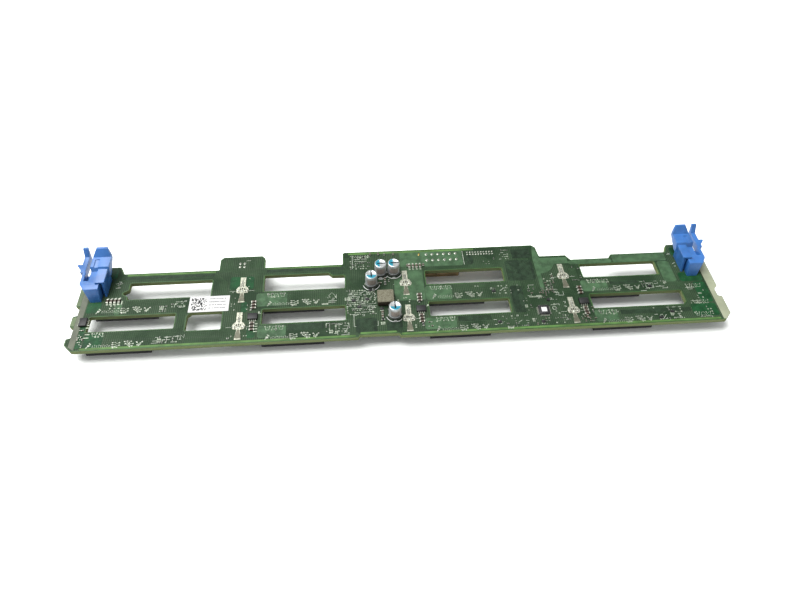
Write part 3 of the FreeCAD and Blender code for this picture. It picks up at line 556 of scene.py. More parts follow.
def add_piece(name: str, mesh: bpy.types.Mesh, finish: Finish | bpy.types.Material, slot: str,
              *replaced: str, smooth: bool = False) -> bpy.types.Object:
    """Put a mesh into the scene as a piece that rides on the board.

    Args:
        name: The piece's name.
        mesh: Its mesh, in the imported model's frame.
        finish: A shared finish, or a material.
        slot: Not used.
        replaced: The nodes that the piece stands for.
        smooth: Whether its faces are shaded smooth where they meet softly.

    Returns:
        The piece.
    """
    mesh.name = name
    piece = bpy.data.objects.new(name, mesh)
    bpy.context.scene.collection.objects.link(piece)
    mesh.materials.clear()
    mesh.materials.append(material_of(finish))
    if smooth:
        mesh.shade_smooth()
        mesh.set_sharp_from_angle(angle=math.radians(SMOOTH_BELOW))
    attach(piece, "root")
    if replaced:
        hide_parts(*replaced)
    log.info("%s: %d faces", name, len(mesh.polygons))
    return piece


def to_mesh(form: bmesh.types.BMesh) -> bpy.types.Mesh:
    """Turn a bmesh into a mesh whose faces point outwards, and free it.

    Args:
        form: The bmesh.

    Returns:
        The mesh.
    """
    bmesh.ops.recalc_face_normals(form, faces=form.faces)
    mesh = bpy.data.meshes.new("form")
    form.to_mesh(mesh)
    form.free()
    return mesh


def rounded_block(size: Sequence[float], rim: float = 0.1, segments: int = 2,
                  low: float = 0.0) -> bmesh.types.BMesh:
    """Make a block with rounded edges, standing on `low` at the origin.

    Args:
        size: Its length, width and height in millimetres.
        rim: The edges' rounding in millimetres.
        segments: The rounding's steps.
        low: The level of its base in millimetres.

    Returns:
        The block.
    """
    form = bmesh.new()
    bmesh.ops.create_cube(form, size=1.0)
    bmesh.ops.scale(form, vec=Vector(size) * MM, verts=form.verts)
    bmesh.ops.translate(form, vec=(0, 0, (low + size[2] / 2) * MM), verts=form.verts)
    if rim:
        bmesh.ops.bevel(form, geom=form.edges[:], offset=rim * MM, affect="EDGES", segments=segments,
                        profile=0.5, material=-1, clamp_overlap=True)
    return form


def turned(profile: Iterable[Point], steps: int = 16) -> bmesh.types.BMesh:
    """Spin a profile about the Z axis.

    Args:
        profile: Its points as radii and heights, in millimetres.
        steps: The number of steps round.

    Returns:
        The turned shape.
    """
    form = bmesh.new()
    chain = [form.verts.new((radius * MM, 0, height * MM)) for radius, height in profile]
    for first, second in zip(chain, chain[1:]):
        form.edges.new((first, second))
    bmesh.ops.spin(form, geom=form.verts[:] + form.edges[:], cent=(0, 0, 0), axis=(0, 0, 1),
                   angle=2 * math.pi, steps=steps, use_merge=True)
    bmesh.ops.remove_doubles(form, verts=form.verts, dist=1e-7)
    return form


def plate(outline: Sequence[Point], height: float) -> bmesh.types.BMesh:
    """Raise a flat outline into a plate that stands on zero.

    Args:
        outline: Its corners, in millimetres.
        height: The plate's thickness in millimetres.

    Returns:
        The plate.
    """
    form = bmesh.new()
    face = form.faces.new([form.verts.new((x * MM, y * MM, 0)) for x, y in outline])
    raised = bmesh.ops.extrude_face_region(form, geom=[face])
    tops = [item for item in raised["geom"] if isinstance(item, bmesh.types.BMVert)]
    bmesh.ops.translate(form, vec=(0, 0, height * MM), verts=tops)
    return form


@dataclass
class Stamp:
    """One small shape that is set down in many places as a single piece."""

    name: str
    shape: bmesh.types.BMesh
    finish: Finish
    slot: str
    places: list[Matrix] = field(default_factory=list)
    smooth: bool = True

    def at(self, place: Vector, turn: float = 0.0, scale: Sequence[float] = (1, 1, 1)) -> None:
        """Set one copy down.

        Args:
            place: Where its origin goes, in metres.
            turn: Its turn about Z, in radians.
            scale: Its scale along its own axes.
        """
        size = Matrix.Diagonal((*scale, 1.0))
        self.places.append(Matrix.Translation(place) @ Matrix.Rotation(turn, 4, "Z") @ size)

    def finish_piece(self, *replaced: str) -> bpy.types.Object | None:
        """Join the copies into one piece.

        Args:
            replaced: The nodes that the piece stands for.

        Returns:
            The piece, or nothing when there are no copies.
        """
        bmesh.ops.recalc_face_normals(self.shape, faces=self.shape.faces)
        self.shape.verts.index_update()
        corners = [vertex.co.copy() for vertex in self.shape.verts]
        faces = [[vertex.index for vertex in face.verts] for face in self.shape.faces]
        self.shape.free()
        if not self.places:
            return None
        points, loops = [], []
        for place in self.places:
            base = len(points)
            points += [place @ corner for corner in corners]
            flip = place.determinant() < 0
            loops += [[base + index for index in (reversed(face) if flip else face)] for face in faces]
        mesh = bpy.data.meshes.new(self.name)
        mesh.from_pydata(points, [], loops)
        mesh.validate()
        return add_piece(self.name, mesh, self.finish, self.slot, *replaced, smooth=self.smooth)


def islands(node: str) -> list[tuple[Vector, Vector]]:
    """Find the separate solids of a node.

    Args:
        node: The node's name.

    Returns:
        The lowest and highest corner of each solid, from left to right.
    """
    form = bmesh.new()
    form.from_mesh(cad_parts[node].data)
    bmesh.ops.remove_doubles(form, verts=form.verts, dist=1e-7)
    left = set(form.verts)
    found = []
    while left:
        stack, group = [left.pop()], []
        while stack:
            vertex = stack.pop()
            group.append(vertex.co.copy())
            for edge in vertex.link_edges:
                other = edge.other_vert(vertex)
                if other in left:
                    left.discard(other)
                    stack.append(other)
        found.append(tuple(Vector(pick(corner[axis] for corner in group) for axis in range(3))
                           for pick in (min, max)))
    form.free()
    return sorted(found, key=lambda pair: tuple(pair[0]))


def softened(node: str, rim: float, finish: Finish | bpy.types.Material, slot: str, segments: int = 2,
             sharp: float = 32.0) -> bpy.types.Object:
    """Replace a node with a copy whose sharp edges are rounded.

    Args:
        node: The node's name.
        rim: The rounding in millimetres.
        finish: The copy's finish.
        slot: The record's material slot.
        segments: The rounding's steps.
        sharp: The angle between faces, in degrees, past which an edge is rounded.

    Returns:
        The new piece.
    """
    form = bmesh.new()
    form.from_mesh(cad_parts[node].data)
    bmesh.ops.remove_doubles(form, verts=form.verts, dist=TOUCHING)
    bmesh.ops.dissolve_limit(form, angle_limit=math.radians(0.5), verts=form.verts, edges=form.edges)
    edges = [edge for edge in form.edges
             if len(edge.link_faces) == 2 and edge.calc_face_angle(0) > math.radians(sharp)]
    bmesh.ops.bevel(form, geom=edges, offset=rim * MM, affect="EDGES", segments=segments, profile=0.5,
                    material=-1, clamp_overlap=True)
    return add_piece(f"{node}_form", to_mesh(form), finish, slot, node, smooth=True)


def dress(finish: Finish | bpy.types.Material, *nodes: str) -> None:
    """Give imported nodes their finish.

    Args:
        finish: A shared finish, or a material.
        nodes: The nodes' names.
    """
    for node in nodes:
        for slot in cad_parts[node].material_slots:
            slot.material = material_of(finish)


def parallel(path: Sequence[Point], distance: float) -> list[Point]:
    """Shift a route sideways, keeping its corners nested.

    Args:
        path: The route's points, in millimetres.
        distance: How far it moves to its left.

    Returns:
        The shifted route's points.
    """
    shifted = []
    for index, point in enumerate(path):
        normals = []
        for first, second in ((index - 1, index), (index, index + 1)):
            if 0 <= first and second < len(path):
                step = Vector(path[second]) - Vector(path[first])
                step.normalize()
                normals.append(Vector((-step.y, step.x)))
        mitre = normals[0]
        if len(normals) == 2:
            mitre = (normals[0] + normals[1]) / (1 + normals[0].dot(normals[1]))
        shifted.append(tuple(Vector(point) + mitre * distance))
    return shifted


@dataclass
class Board:
    """The routed sheet: its faces, its columns of drive connectors, and places on it."""

    side_strip: float = 3.8
    # the width of the painted highlight strip along the edges
    rim: float = 0.6
    rim_lift: float = 0.015
    clear_height: float = 60.0

    def __post_init__(self) -> None:
        """Read the sheet's corners."""
        self.low, self.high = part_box("circuit_board")
        self.middle = (self.low[0] + self.high[0]) / 2
        self.rear = self.high[2]
        self.front = self.low[2]
        corners, faces = [], []
        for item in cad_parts.values():
            start = len(corners)
            corners += [vertex.co.copy() for vertex in item.data.vertices]
            faces += [[start + index for index in face.vertices] for face in item.data.polygons]
        self.tree = BVHTree.FromPolygons(corners, faces)

    def spot(self, along: float, up: float, above: float = 0.0) -> Vector:
        """Turn a place on the rear face, in millimetres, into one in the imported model's frame."""
        return Vector((self.middle + along * MM, self.low[1] + up * MM, self.rear + above * MM))

    def free(self, along: float, up: float, margin: float = 0.5) -> bool:
        """Say whether the rear face is bare board round a place.

        Args:
            along: The place along the board.
            up: The place up the board.
            margin: How far round the place the board has to be bare.

        Returns:
            Whether the middle and four corners are all bare board.
        """
        for across, aside in ((0, 0), (1, 1), (-1, 1), (1, -1), (-1, -1)):
            start = self.spot(along + across * margin, up + aside * margin, self.clear_height)
            hit = self.tree.ray_cast(start, Vector((0, 0, -1)))[0]
            if hit is None or abs(hit.z - self.rear) > 0.01 * MM:
                return False
        return True

    def column(self, number: int) -> float:
        """Give the middle of a column of drive connectors, in millimetres along the board."""
        low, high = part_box(f"drive_connector_b{number}")
        return ((low[0] + high[0]) / 2 - self.middle) / MM

    def row(self, name: str) -> float:
        """Give the middle of a row of drive connectors, in millimetres up the board."""
        low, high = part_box(f"drive_connector_{name}1")
        return ((low[1] + high[1]) / 2 - self.low[1]) / MM

    def build(self) -> None:
        """Dress the sheet, and lay a brighter strip along every edge of both faces: a painted highlight."""
        dress(SolderMask().material(self.rear, self.front), "circuit_board")
        # painted highlight strips along the edges of the rear face and the drive-side face
        for name, level, up in (("rear_edge_highlight", self.rear, 1), ("front_edge_highlight", self.front, -1)):
            add_piece(name, self.highlight_strip(level, up), Finish.EDGE_HIGHLIGHT, "board")

    def highlight_strip(self, level: float, up: int) -> bpy.types.Mesh:
        """Make the thin painted-highlight strip along all the edges of one face.

        Args:
            level: The face's height, in metres.
            up: 1 where the face looks up, and -1 where it looks down.

        Returns:
            The strip.
        """
        form = bmesh.new()
        form.from_mesh(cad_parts["circuit_board"].data)
        bmesh.ops.remove_doubles(form, verts=form.verts, dist=TOUCHING)
        others = [face for face in form.faces
                  if face.normal.z * up < 0.99 or abs(face.calc_center_median().z - level) > 1e-5]
        bmesh.ops.delete(form, geom=others, context="FACES")
        ring = bmesh.ops.inset_region(form, faces=form.faces, thickness=self.rim * MM, depth=0.0,
                                      use_boundary=True, use_even_offset=True)["faces"]
        kept = set(ring)
        bmesh.ops.delete(form, geom=[face for face in form.faces if face not in kept], context="FACES")
        raised = bmesh.ops.extrude_face_region(form, geom=form.faces[:])
        tops = [item for item in raised["geom"] if isinstance(item, bmesh.types.BMVert)]
        bmesh.ops.translate(form, vec=(0, 0, up * self.rim_lift * MM), verts=tops)
        return to_mesh(form)


@dataclass
class Lines:
    """Flat raised lines on one face of the board, such as traces or printed outlines."""

    board: Board
    name: str
    finish: Finish
    slot: str
    width: float = 0.26
    height: float = 0.035
    step: float = 1.0
    clearance: float = 0.1

    def __post_init__(self) -> None:
        """Start an empty curve."""
        self.curve = bpy.data.curves.new(self.name, "CURVE")
        self.curve.dimensions = "3D"
        self.curve.bevel_depth = self.width / 2 * MM
        self.curve.bevel_resolution = 0
        self.curve.use_fill_caps = True

    def route(self, path: Sequence[Point]) -> None:
        """Add one line wherever the board is bare.

        Args:
            path: Its points on the board, in millimetres.
        """
        run: list[Point] = []
        for first, second in zip(path, path[1:]):
            start, end = Vector(first), Vector(second)
            steps = max(1, math.ceil((end - start).length / self.step))
            spots = [tuple(start.lerp(end, index / steps)) for index in range(steps + 1)]
            for index, spot in enumerate(spots):
                if not self.board.free(*spot, self.width / 2 + self.clearance):
                    self.lay(run)
                    run = []
                elif len(run) > 1 and 1 < index:
                    run[-1] = spot
                elif not run or run[-1] != spot:
                    run.append(spot)
        self.lay(run)

    def lay(self, run: Sequence[Point]) -> None:
        """Lay one unbroken line, or nothing where it has fewer than two points.

        Args:
            run: Its points on the board, in millimetres.
        """
        if len(run) < 2:
            return
        spline = self.curve.splines.new("POLY")
        spline.points.add(len(run) - 1)
        for point, (along, up) in zip(spline.points, run):
            point.co = (*self.board.spot(along, up), 1.0)

    def bundle(self, path: Sequence[Point], count: int, pitch: float) -> None:
        """Add lines side by side along one route.

        Args:
            path: The middle line's points, in millimetres.
            count: The number of lines.
            pitch: The distance from one line to the next.
        """
        for index in range(count):
            self.route(parallel(path, (index - (count - 1) / 2) * pitch))

    def finish_piece(self) -> bpy.types.Object:
        """Flatten the lines onto their face and make them one piece.

        Returns:
            The piece.
        """
        carrier = bpy.data.objects.new(self.name, self.curve)
        mesh = bpy.data.meshes.new_from_object(carrier)
        bpy.data.objects.remove(carrier)
        form = bmesh.new()
        form.from_mesh(mesh)
        flat = self.height / (self.width / 2)
        bmesh.ops.translate(form, vec=(0, 0, -self.board.rear), verts=form.verts)
        bmesh.ops.scale(form, vec=(1, 1, flat), verts=form.verts)
        bmesh.ops.translate(form, vec=(0, 0, self.board.rear), verts=form.verts)
        return add_piece(self.name, to_mesh(form), self.finish, self.slot)


@dataclass
class Pours:
    """Copper areas and bare strips, each a thin plate on the rear face."""

    board: Board
    thickness: float = 0.02

    def area(self, name: str, finish: Finish, outlines: Sequence[Sequence[Point]],
             lift: float = 0.0) -> None:
        """Lay plates of one finish as one piece.

        Args:
            name: The piece's name.
            finish: Its finish.
            outlines: The plates' corners, in millimetres on the board.
            lift: How much higher the plates are than the thinnest.
        """
        whole = bmesh.new()
        for outline in outlines:
            part = plate(outline, self.thickness + lift)
            bmesh.ops.translate(part, vec=self.board.spot(0, 0), verts=part.verts)
            mesh = to_mesh(part)
            whole.from_mesh(mesh)
            bpy.data.meshes.remove(mesh)
        add_piece(name, to_mesh(whole), finish, "board")

    @staticmethod
    def field_of(left: float, low: float, right: float, high: float, cut: float = 1.2) -> list[Point]:
        """Outline a rectangle with its corners cut at 45 degrees.

        Args:
            left: Its left side, in millimetres.
            low: Its lower side.
            right: Its right side.
            high: Its upper side.
            cut: How much each corner loses along its sides.

        Returns:
            The outline's corners.
        """
        return [
            (left + cut, low), (right - cut, low), (right, low + cut), (right, high - cut),
            (right - cut, high), (left + cut, high), (left, high - cut), (left, low + cut),
        ]


class Bit(Enum):
    """The small things that fill a cluster on the rear face."""

    CHIP_RESISTOR = "resistor"
    CERAMIC = "ceramic"
    PAD = "pad"
    VIA = "via"
    BAR = "bar"
    BRACKET = "bracket"


@dataclass(frozen=True)
class Cluster:
    """A patch of small parts on a grid: its corners on the board, what it holds and how full it is."""

    left: float
    low: float
    right: float
    high: float
    bits: tuple[Bit, ...]
    fill: float = 0.6
    pitch: float = 1.7


# short names for the table of clusters
R, C, P, V, B, K = Bit.CHIP_RESISTOR, Bit.CERAMIC, Bit.PAD, Bit.VIA, Bit.BAR, Bit.BRACKET

CLUSTERS = (
    # left third, from the clip to the first ground pads
    Cluster(-196, 49, -189, 56, (K, B, R), 0.35),
    Cluster(-195, 31.5, -187, 35.5, (P, B), 0.9, 2.4),
    Cluster(-209, 2.5, -204.5, 16.5, (C, R, P, V), 0.6),
    Cluster(-201, 9.5, -193, 13.5, (P, K), 0.8, 2.0),
    Cluster(-162, 27.5, -157, 33, (V, R), 0.4),
    Cluster(-155, 31, -145, 36.5, (P, K, R), 0.55, 2.0),
    Cluster(-161, 2.5, -144, 8.5, (P, B, K, R), 0.55, 2.1),
    Cluster(-116, 3, -103, 12, (V, R), 0.28),
    Cluster(-116.5, 26, -112.5, 44, (V,), 0.4),
    Cluster(-106, 26, -104.2, 54, (V,), 0.35),
    # second column and the middle
    Cluster(-92.5, 35, -80, 39.5, (P, K, R), 0.7, 2.1),
    Cluster(-93, 8, -80, 13, (P, K, R), 0.7, 2.1),
    Cluster(-54, 28.5, -46, 37, (P, K, R), 0.5, 2.0),
    Cluster(-54, 3.0, -38, 12.5, (P, R, K, V, P), 0.62, 1.9),
    Cluster(-40, 17.5, -20, 39, (R, P, V, K, P, B), 0.74, 1.7),
    Cluster(-37, 57, -23, 70.5, (V, V, P, R), 0.6, 1.8),
    Cluster(-6, 26, 5, 31, (V, P), 0.4),
    Cluster(4, 5, 16, 12, (V, P, C), 0.35),
    # third column
    Cluster(17, 36, 32, 39.5, (P, K, B), 0.5, 2.2),
    Cluster(17.5, 8.5, 32, 13.5, (P, K, B), 0.5, 2.2),
    Cluster(45.5, 36.5, 51, 39, (P,), 0.8, 1.8),
    Cluster(56, 29.5, 78, 38, (R, P, K, V), 0.42, 1.9),
    Cluster(56, 1.8, 79, 12, (R, P, K, B, V), 0.45, 1.9),
    Cluster(69, 60.5, 76.5, 70.5, (R, P, B, V), 0.45, 2.0),
    Cluster(51, 56.5, 66, 63, (V, R), 0.25, 2.0),
    Cluster(78, 14, 84, 26, (R, P, V), 0.4, 2.0),
    Cluster(83, 22, 104, 34, (R, C, V, K), 0.38, 1.9),
    Cluster(96, 29, 103.5, 46, (R, C, P, K), 0.62, 1.9),
    Cluster(96.5, 3, 107, 22, (R, V, P, K), 0.42, 1.9),
    Cluster(79, 2.5, 96, 9, (C, P, R, V), 0.38, 2.0),
    # last column to the right clip
    Cluster(114, 3, 124.5, 16, (C, R, V, P), 0.5, 1.9),
    Cluster(116, 26, 124, 52, (V, R), 0.3, 2.0),
    Cluster(126, 35.5, 142, 39, (P, K, R), 0.65, 2.1),
    Cluster(127, 7.5, 140, 13, (P, K, R), 0.65, 2.1),
    Cluster(163, 27.5, 181, 36, (R, P, K, B), 0.6, 1.9),
    Cluster(164, 1.8, 184, 13, (R, P, K, B), 0.5, 2.0),
    Cluster(191, 48, 196, 60, (K, B, R), 0.35, 2.0),
    Cluster(192, 18, 206, 26, (K, B, P), 0.28, 2.2),
    Cluster(192, 2.2, 205, 12, (B, P, K), 0.55, 2.0),
)

# rows of U-shaped test terminals: their left end, right end and height up the board
TERMINAL_ROWS = (
    (-93.0, -80.0, 37.6), (-93.0, -80.0, 10.6), (17.0, 32.0, 37.8), (18.0, 31.5, 11.2),
    (126.0, 141.5, 37.4), (127.0, 140.0, 10.4), (-201.0, -193.0, 12.0), (194.0, 205.0, 29.6),
    (194.0, 205.0, 15.4), (191.4, 203.0, 5.4),
)

# blocks of pads side by side: their middle, width and height
BLOCKS = (
    (-160.5, 31.2, 2.6, 3.4), (-54.0, 28.2, 4.4, 1.6), (82.5, 7.0, 2.0, 3.0), (-50.2, 5.6, 2.4, 3.0),
    (-46.6, 4.9, 2.0, 2.4), (180.5, 33.8, 2.4, 2.0), (80.0, 18.6, 2.0, 2.6), (176.0, 6.6, 2.0, 3.2),
    (66.0, 1.7, 3.6, 1.4), (88.0, 26.2, 9.0, 1.3), (-16.4, 10.2, 3.0, 2.4), (201.5, 22.6, 2.6, 1.6),
    (-158.0, 5.4, 2.6, 2.8), (-26.5, 30.5, 2.0, 2.6), (-37.8, 31.4, 1.8, 3.6), (197.5, 14.6, 4.2, 1.6),
)

# two-ended parts that stand alone: their place, their turn in degrees, whether brown, and their size
SINGLES = (
    (-13.2, 47.0, 90, True, 1.7), (-13.2, 43.4, 90, False, 1.9), (-16.6, 43.8, 0, True, 1.3),
    (-10.6, 45.6, 90, False, 1.2), (-16.4, 18.6, 90, True, 1.8), (-16.4, 15.4, 90, True, 1.8),
    (-16.2, 12.9, 0, False, 1.5), (-11.8, 21.0, 0, True, 1.2), (3.2, 58.4, 90, True, 1.5),
    (14.4, 58.4, 90, True, 1.5), (-22.4, 70.4, 90, True, 1.4), (-16.6, 70.6, 90, True, 1.5),
    (-6.0, 69.6, 90, True, 1.3), (-12.4, 70.0, 90, False, 1.3), (-27.0, 68.4, 0, False, 1.4),
    (8.6, 26.4, 90, False, 1.6), (9.6, 7.6, 90, False, 1.7), (-102.4, 26.6, 90, False, 1.6),
    (118.6, 7.2, 90, True, 1.7), (118.8, 12.2, 0, True, 1.8), (118.8, 14.4, 0, False, 1.6),
)

# long pads that stand side by side: their place, width and height
LONG_PADS = (
    (-194.6, 37.0, 0.8, 3.4), (-192.1, 37.0, 0.8, 3.4), (-189.6, 37.0, 0.8, 3.4), (-187.1, 37.0, 0.8, 3.4),
    (-98.6, 14.6, 2.6, 0.7), (-98.6, 12.6, 2.6, 0.7), (-98.6, 10.6, 2.6, 0.7), (-98.6, 8.6, 2.6, 0.7),
    (-97.0, 23.8, 1.2, 1.4), (14.2, 23.2, 1.2, 1.4), (-203.6, 9.8, 3.4, 0.7), (-203.4, 12.4, 3.0, 0.7),
    (-204.2, 17.6, 2.8, 0.8), (-204.8, 19.6, 2.0, 0.8), (65.0, 2.0, 0.7, 2.2), (66.4, 2.0, 0.7, 2.2),
    (67.8, 2.0, 0.7, 2.2), (-40.4, 31.4, 1.0, 2.6), (-39.0, 31.4, 1.0, 2.6), (-37.6, 31.4, 1.0, 2.6),
)

# small black parts with three legs: their places
BLACK_PARTS = (
    (60.0, 32.4), (59.6, 6.6), (168.6, 30.6), (167.6, 4.0), (-35.0, 29.6), (-26.0, 30.4), (-23.6, 38.0),
    (-31.4, 24.2), (-16.6, 21.9), (88.4, 5.2), (176.6, 8.2),
)

# printed lines of the rear face, as points on the board
PRINTED = (
    ((-152.0, 35.6), (-148.6, 35.6)), ((-152.4, 31.2), (-152.4, 34.2), (-150.4, 34.2)),
    ((-149.6, 31.0), (-146.6, 31.0), (-146.6, 33.0)), ((-162.5, 3.4), (-158.4, 3.4)),
    ((-162.0, 5.0), (-158.8, 5.0)), ((-155.0, 7.6), (-150.6, 7.6)), ((-153.4, 3.2), (-153.4, 8.4)),
    ((-155.6, 5.6), (-151.4, 5.6)), ((-149.6, 4.4), (-149.6, 8.0), (-146.6, 8.0), (-146.6, 5.2)),
    ((-145.0, 5.2), (-145.0, 8.6), (-142.8, 6.4), (-142.8, 9.0)),
    ((-51.6, 34.8), (-49.4, 37.6), (-47.2, 34.8)), ((-51.8, 30.6), (-46.2, 30.6)),
    ((-46.4, 32.4), (-46.4, 36.0)), ((-52.0, 29.4), (-47.4, 29.4)),
    ((-53.4, 9.0), (-53.4, 12.2), (-51.0, 12.2)), ((-47.6, 10.8), (-43.0, 10.8)),
    ((-43.6, 2.6), (-38.4, 2.6)), ((-41.2, 5.0), (-38.6, 8.4), (-38.6, 11.6)), ((-42.8, 7.2), (-40.0, 7.2)),
    ((-35.2, 8.6), (-35.2, 18.4)), ((-35.2, 8.6), (-19.6, 8.6), (-19.6, 12.4)),
    ((-35.0, 58.0), (-35.0, 70.4)), ((-33.6, 68.6), (-22.4, 68.6)), ((-33.6, 66.6), (-24.4, 66.6)),
    ((-33.6, 64.6), (-26.0, 64.6)),
    ((-24.6, 20.0), (-24.6, 24.0), (-22.6, 24.0), (-22.6, 20.0), (-24.6, 20.0)),
    ((-30.8, 35.4), (-27.0, 37.8), (-23.6, 35.0)), ((-20.8, 30.0), (-19.4, 33.4), (-21.6, 36.4)),
    ((-38.6, 29.8), (-34.8, 29.8), (-34.8, 33.6), (-38.6, 33.6)), ((43.6, 57.6), (43.6, 70.6)),
    ((64.4, 32.6), (67.0, 34.6)), ((72.0, 5.6), (74.8, 7.4)), ((161.4, 27.0), (165.6, 27.0)),
    ((166.4, 29.4), (171.6, 29.4), (171.6, 33.6), (166.4, 33.6), (166.4, 29.4)),
    ((173.0, 30.2), (179.0, 30.2)), ((168.6, 2.4), (172.0, 6.2)),
    ((176.2, 3.4), (180.6, 3.4), (180.6, 6.0)), ((193.4, 28.0), (204.6, 28.0)),
    ((192.6, 14.0), (192.6, 16.4), (204.4, 16.4)), ((190.8, 10.6), (203.6, 10.6)),
    ((191.0, 9.0), (202.6, 9.0)), ((194.6, 30.0), (194.6, 26.6), (198.0, 26.6)),
    ((200.0, 29.6), (204.0, 26.8)), ((197.6, 12.6), (197.6, 15.6)),
    ((194.4, 6.6), (198.4, 6.6), (198.4, 3.6)), ((200.4, 3.4), (203.8, 6.4)),
    ((-192.8, 52.0), (-189.6, 53.6)), ((-193.6, 49.6), (-190.4, 49.6)), ((192.0, 50.0), (195.0, 51.4)),
    ((192.4, 47.8), (194.6, 47.8)), ((-97.4, 22.8), (-95.6, 22.8)), ((13.0, 22.6), (15.0, 22.6)),
    ((84.6, 33.0), (84.6, 36.4), (88.6, 36.4)), ((103.6, 26.4), (107.4, 26.4), (107.4, 29.8)),
    ((96.4, 18.6), (100.4, 18.6)), ((-108.6, 69.6), (-105.6, 69.6)),
)


@dataclass
class SmallParts:
    """The chip resistors, tiny ceramics, pads, vias and printed strokes of the rear face."""

    board: Board
    seed: int = 11
    pad_width: float = 0.8
    end_reach: float = 0.58
    ceramic_rise: float = 1.75
    jitter: float = 0.2
    room: float = 0.75
    terminal_pitch: float = 4.2
    terminal_rise: float = 1.3
    terminal_top: float = 1.5
    terminal_foot: float = 0.9
    round_part: Point = (95.6, 22.9)
    printed_ring: tuple[float, float, float] = (98.4, 15.9, 1.3)
    gilt_pad: Point = (12.4, 68.8)
    # radii of the white arcs round each can: partly print, partly painted highlight
    can_arcs: tuple[float, float] = (4.7, 5.7)
    arc_ends: tuple[float, float] = (195, 345)

    def __post_init__(self) -> None:
        """Make the shapes."""
        self.resistor = Stamp("chip_resistors", rounded_block((0.9, 0.72, 0.36), 0.05, 1), Finish.EPOXY,
                              "chip_black")
        self.ceramic = Stamp("tiny_ceramics", rounded_block((0.9, 0.8, 0.7), 0.06, 1), Finish.BROWN,
                             "ceramic_brown")
        self.ends = Stamp("chip_ends", rounded_block((0.34, 0.84, 0.42), 0.06, 1), Finish.TIN, "tinned_pin")
        self.pads = Stamp("solder_pads", rounded_block((self.pad_width, 1.0, 0.16), 0.12, 2, -0.08),
                          Finish.PAD_TIN, "tinned_pad")
        ring = turned([(0.34, 0), (0.34, 0.03), (0.28, 0.045), (0.17, 0.045), (0.17, 0)], 8)
        self.vias = Stamp("vias", ring, Finish.TIN, "tinned_pad")
        self.holes = Stamp("via_holes", turned([(0, 0.03), (0.17, 0.03)], 8), Finish.HOLE, "board")
        self.bodies = Stamp("black_bodies", rounded_block((2.5, 1.5, 0.9), 0.1, 2), Finish.EPOXY,
                            "chip_black")
        drum = turned([(1.15, 0), (1.15, 0.7), (1.0, 0.9), (0.45, 0.9), (0.4, 0.8), (0, 0.8)], 20)
        self.rounds = Stamp("round_parts", drum, Finish.EPOXY, "chip_black")
        self.gilt = Stamp("gilt_pads", rounded_block((1.1, 2.0, 0.3), 0.1, 2), Finish.GOLD, "gold_contact")
        self.print = Lines(self.board, "printed_marks", Finish.SILK, "label_white", 0.32, 0.02)
        self.rings_and_highlights = Lines(self.board, "can_rings_and_highlights", Finish.RING_AND_HIGHLIGHT, "label_white", 0.62, 0.03)
        self.tinned = Lines(self.board, "tinned_marks", Finish.PAD_TIN, "tinned_pad", 0.5, 0.05)

    def chip(self, along: float, up: float, turn: float, brown: bool, size: float = 1.0) -> None:
        """Set down one two-ended part with its solder ends.

        Args:
            along: Its place along the board.
            up: Its place up the board.
            turn: Its turn in radians.
            brown: Whether it is a ceramic part and not a resistor.
            size: Its scale.
        """
        body = self.ceramic if brown else self.resistor
        body.at(self.board.spot(along, up), turn, (size, size, size))
        for side in SIDES:
            reach = side * self.end_reach * size
            place = self.board.spot(along + reach * math.cos(turn), up + reach * math.sin(turn))
            self.ends.at(place, turn, (size, size, size * (self.ceramic_rise if brown else 1.0)))

    def via(self, along: float, up: float, size: float = 1.0) -> None:
        """Set down one plated through-hole.

        Args:
            along: Its place along the board.
            up: Its place up the board.
            size: Its scale.
        """
        place = self.board.spot(along, up)
        self.vias.at(place, 0.0, (size, size, 1))
        self.holes.at(place, 0.0, (size, size, 1))

    def pad(self, along: float, up: float, turn: float = 0.0, scale: Sequence[float] = (1, 1, 1)) -> None:
        """Set down one solder pad, turned in radians and scaled."""
        self.pads.at(self.board.spot(along, up), turn, scale)

    def stroke(self, along: float, up: float, kind: Bit, random_state: random.Random) -> None:
        """Print one plain mark: a short bar, or a corner bracket beside a part.

        Args:
            along: Its place along the board.
            up: Its place up the board.
            kind: Whether it is a bar or a bracket.
            random_state: The random numbers.
        """
        reach = random_state.uniform(0.6, 1.4)
        rise = random_state.choice((-1, 1)) * random_state.uniform(0.6, 1.3)
        path = [(along - reach, up), (along + reach, up)]
        if kind is Bit.BRACKET:
            path.append((along + reach, up + rise))
            if random_state.random() < 0.5:
                path.append((along - reach * 0.4, up + rise))
        self.print.route(path)

    def fill(self, cluster: Cluster, random_state: random.Random) -> None:
        """Fill one cluster with its bits on a grid.

        Args:
            cluster: The cluster.
            random_state: The random numbers.
        """
        across = max(1, round((cluster.right - cluster.left) / cluster.pitch))
        upward = max(1, round((cluster.high - cluster.low) / cluster.pitch))
        for column in range(across):
            for line in range(upward):
                if random_state.random() > cluster.fill:
                    continue
                along = cluster.left + (column + 0.5) * (cluster.right - cluster.left) / across
                up = cluster.low + (line + 0.5) * (cluster.high - cluster.low) / upward
                along += random_state.uniform(-self.jitter, self.jitter)
                up += random_state.uniform(-self.jitter, self.jitter)
                if self.board.free(along, up, self.room):
                    self.place(random_state.choice(cluster.bits), along, up, random_state)

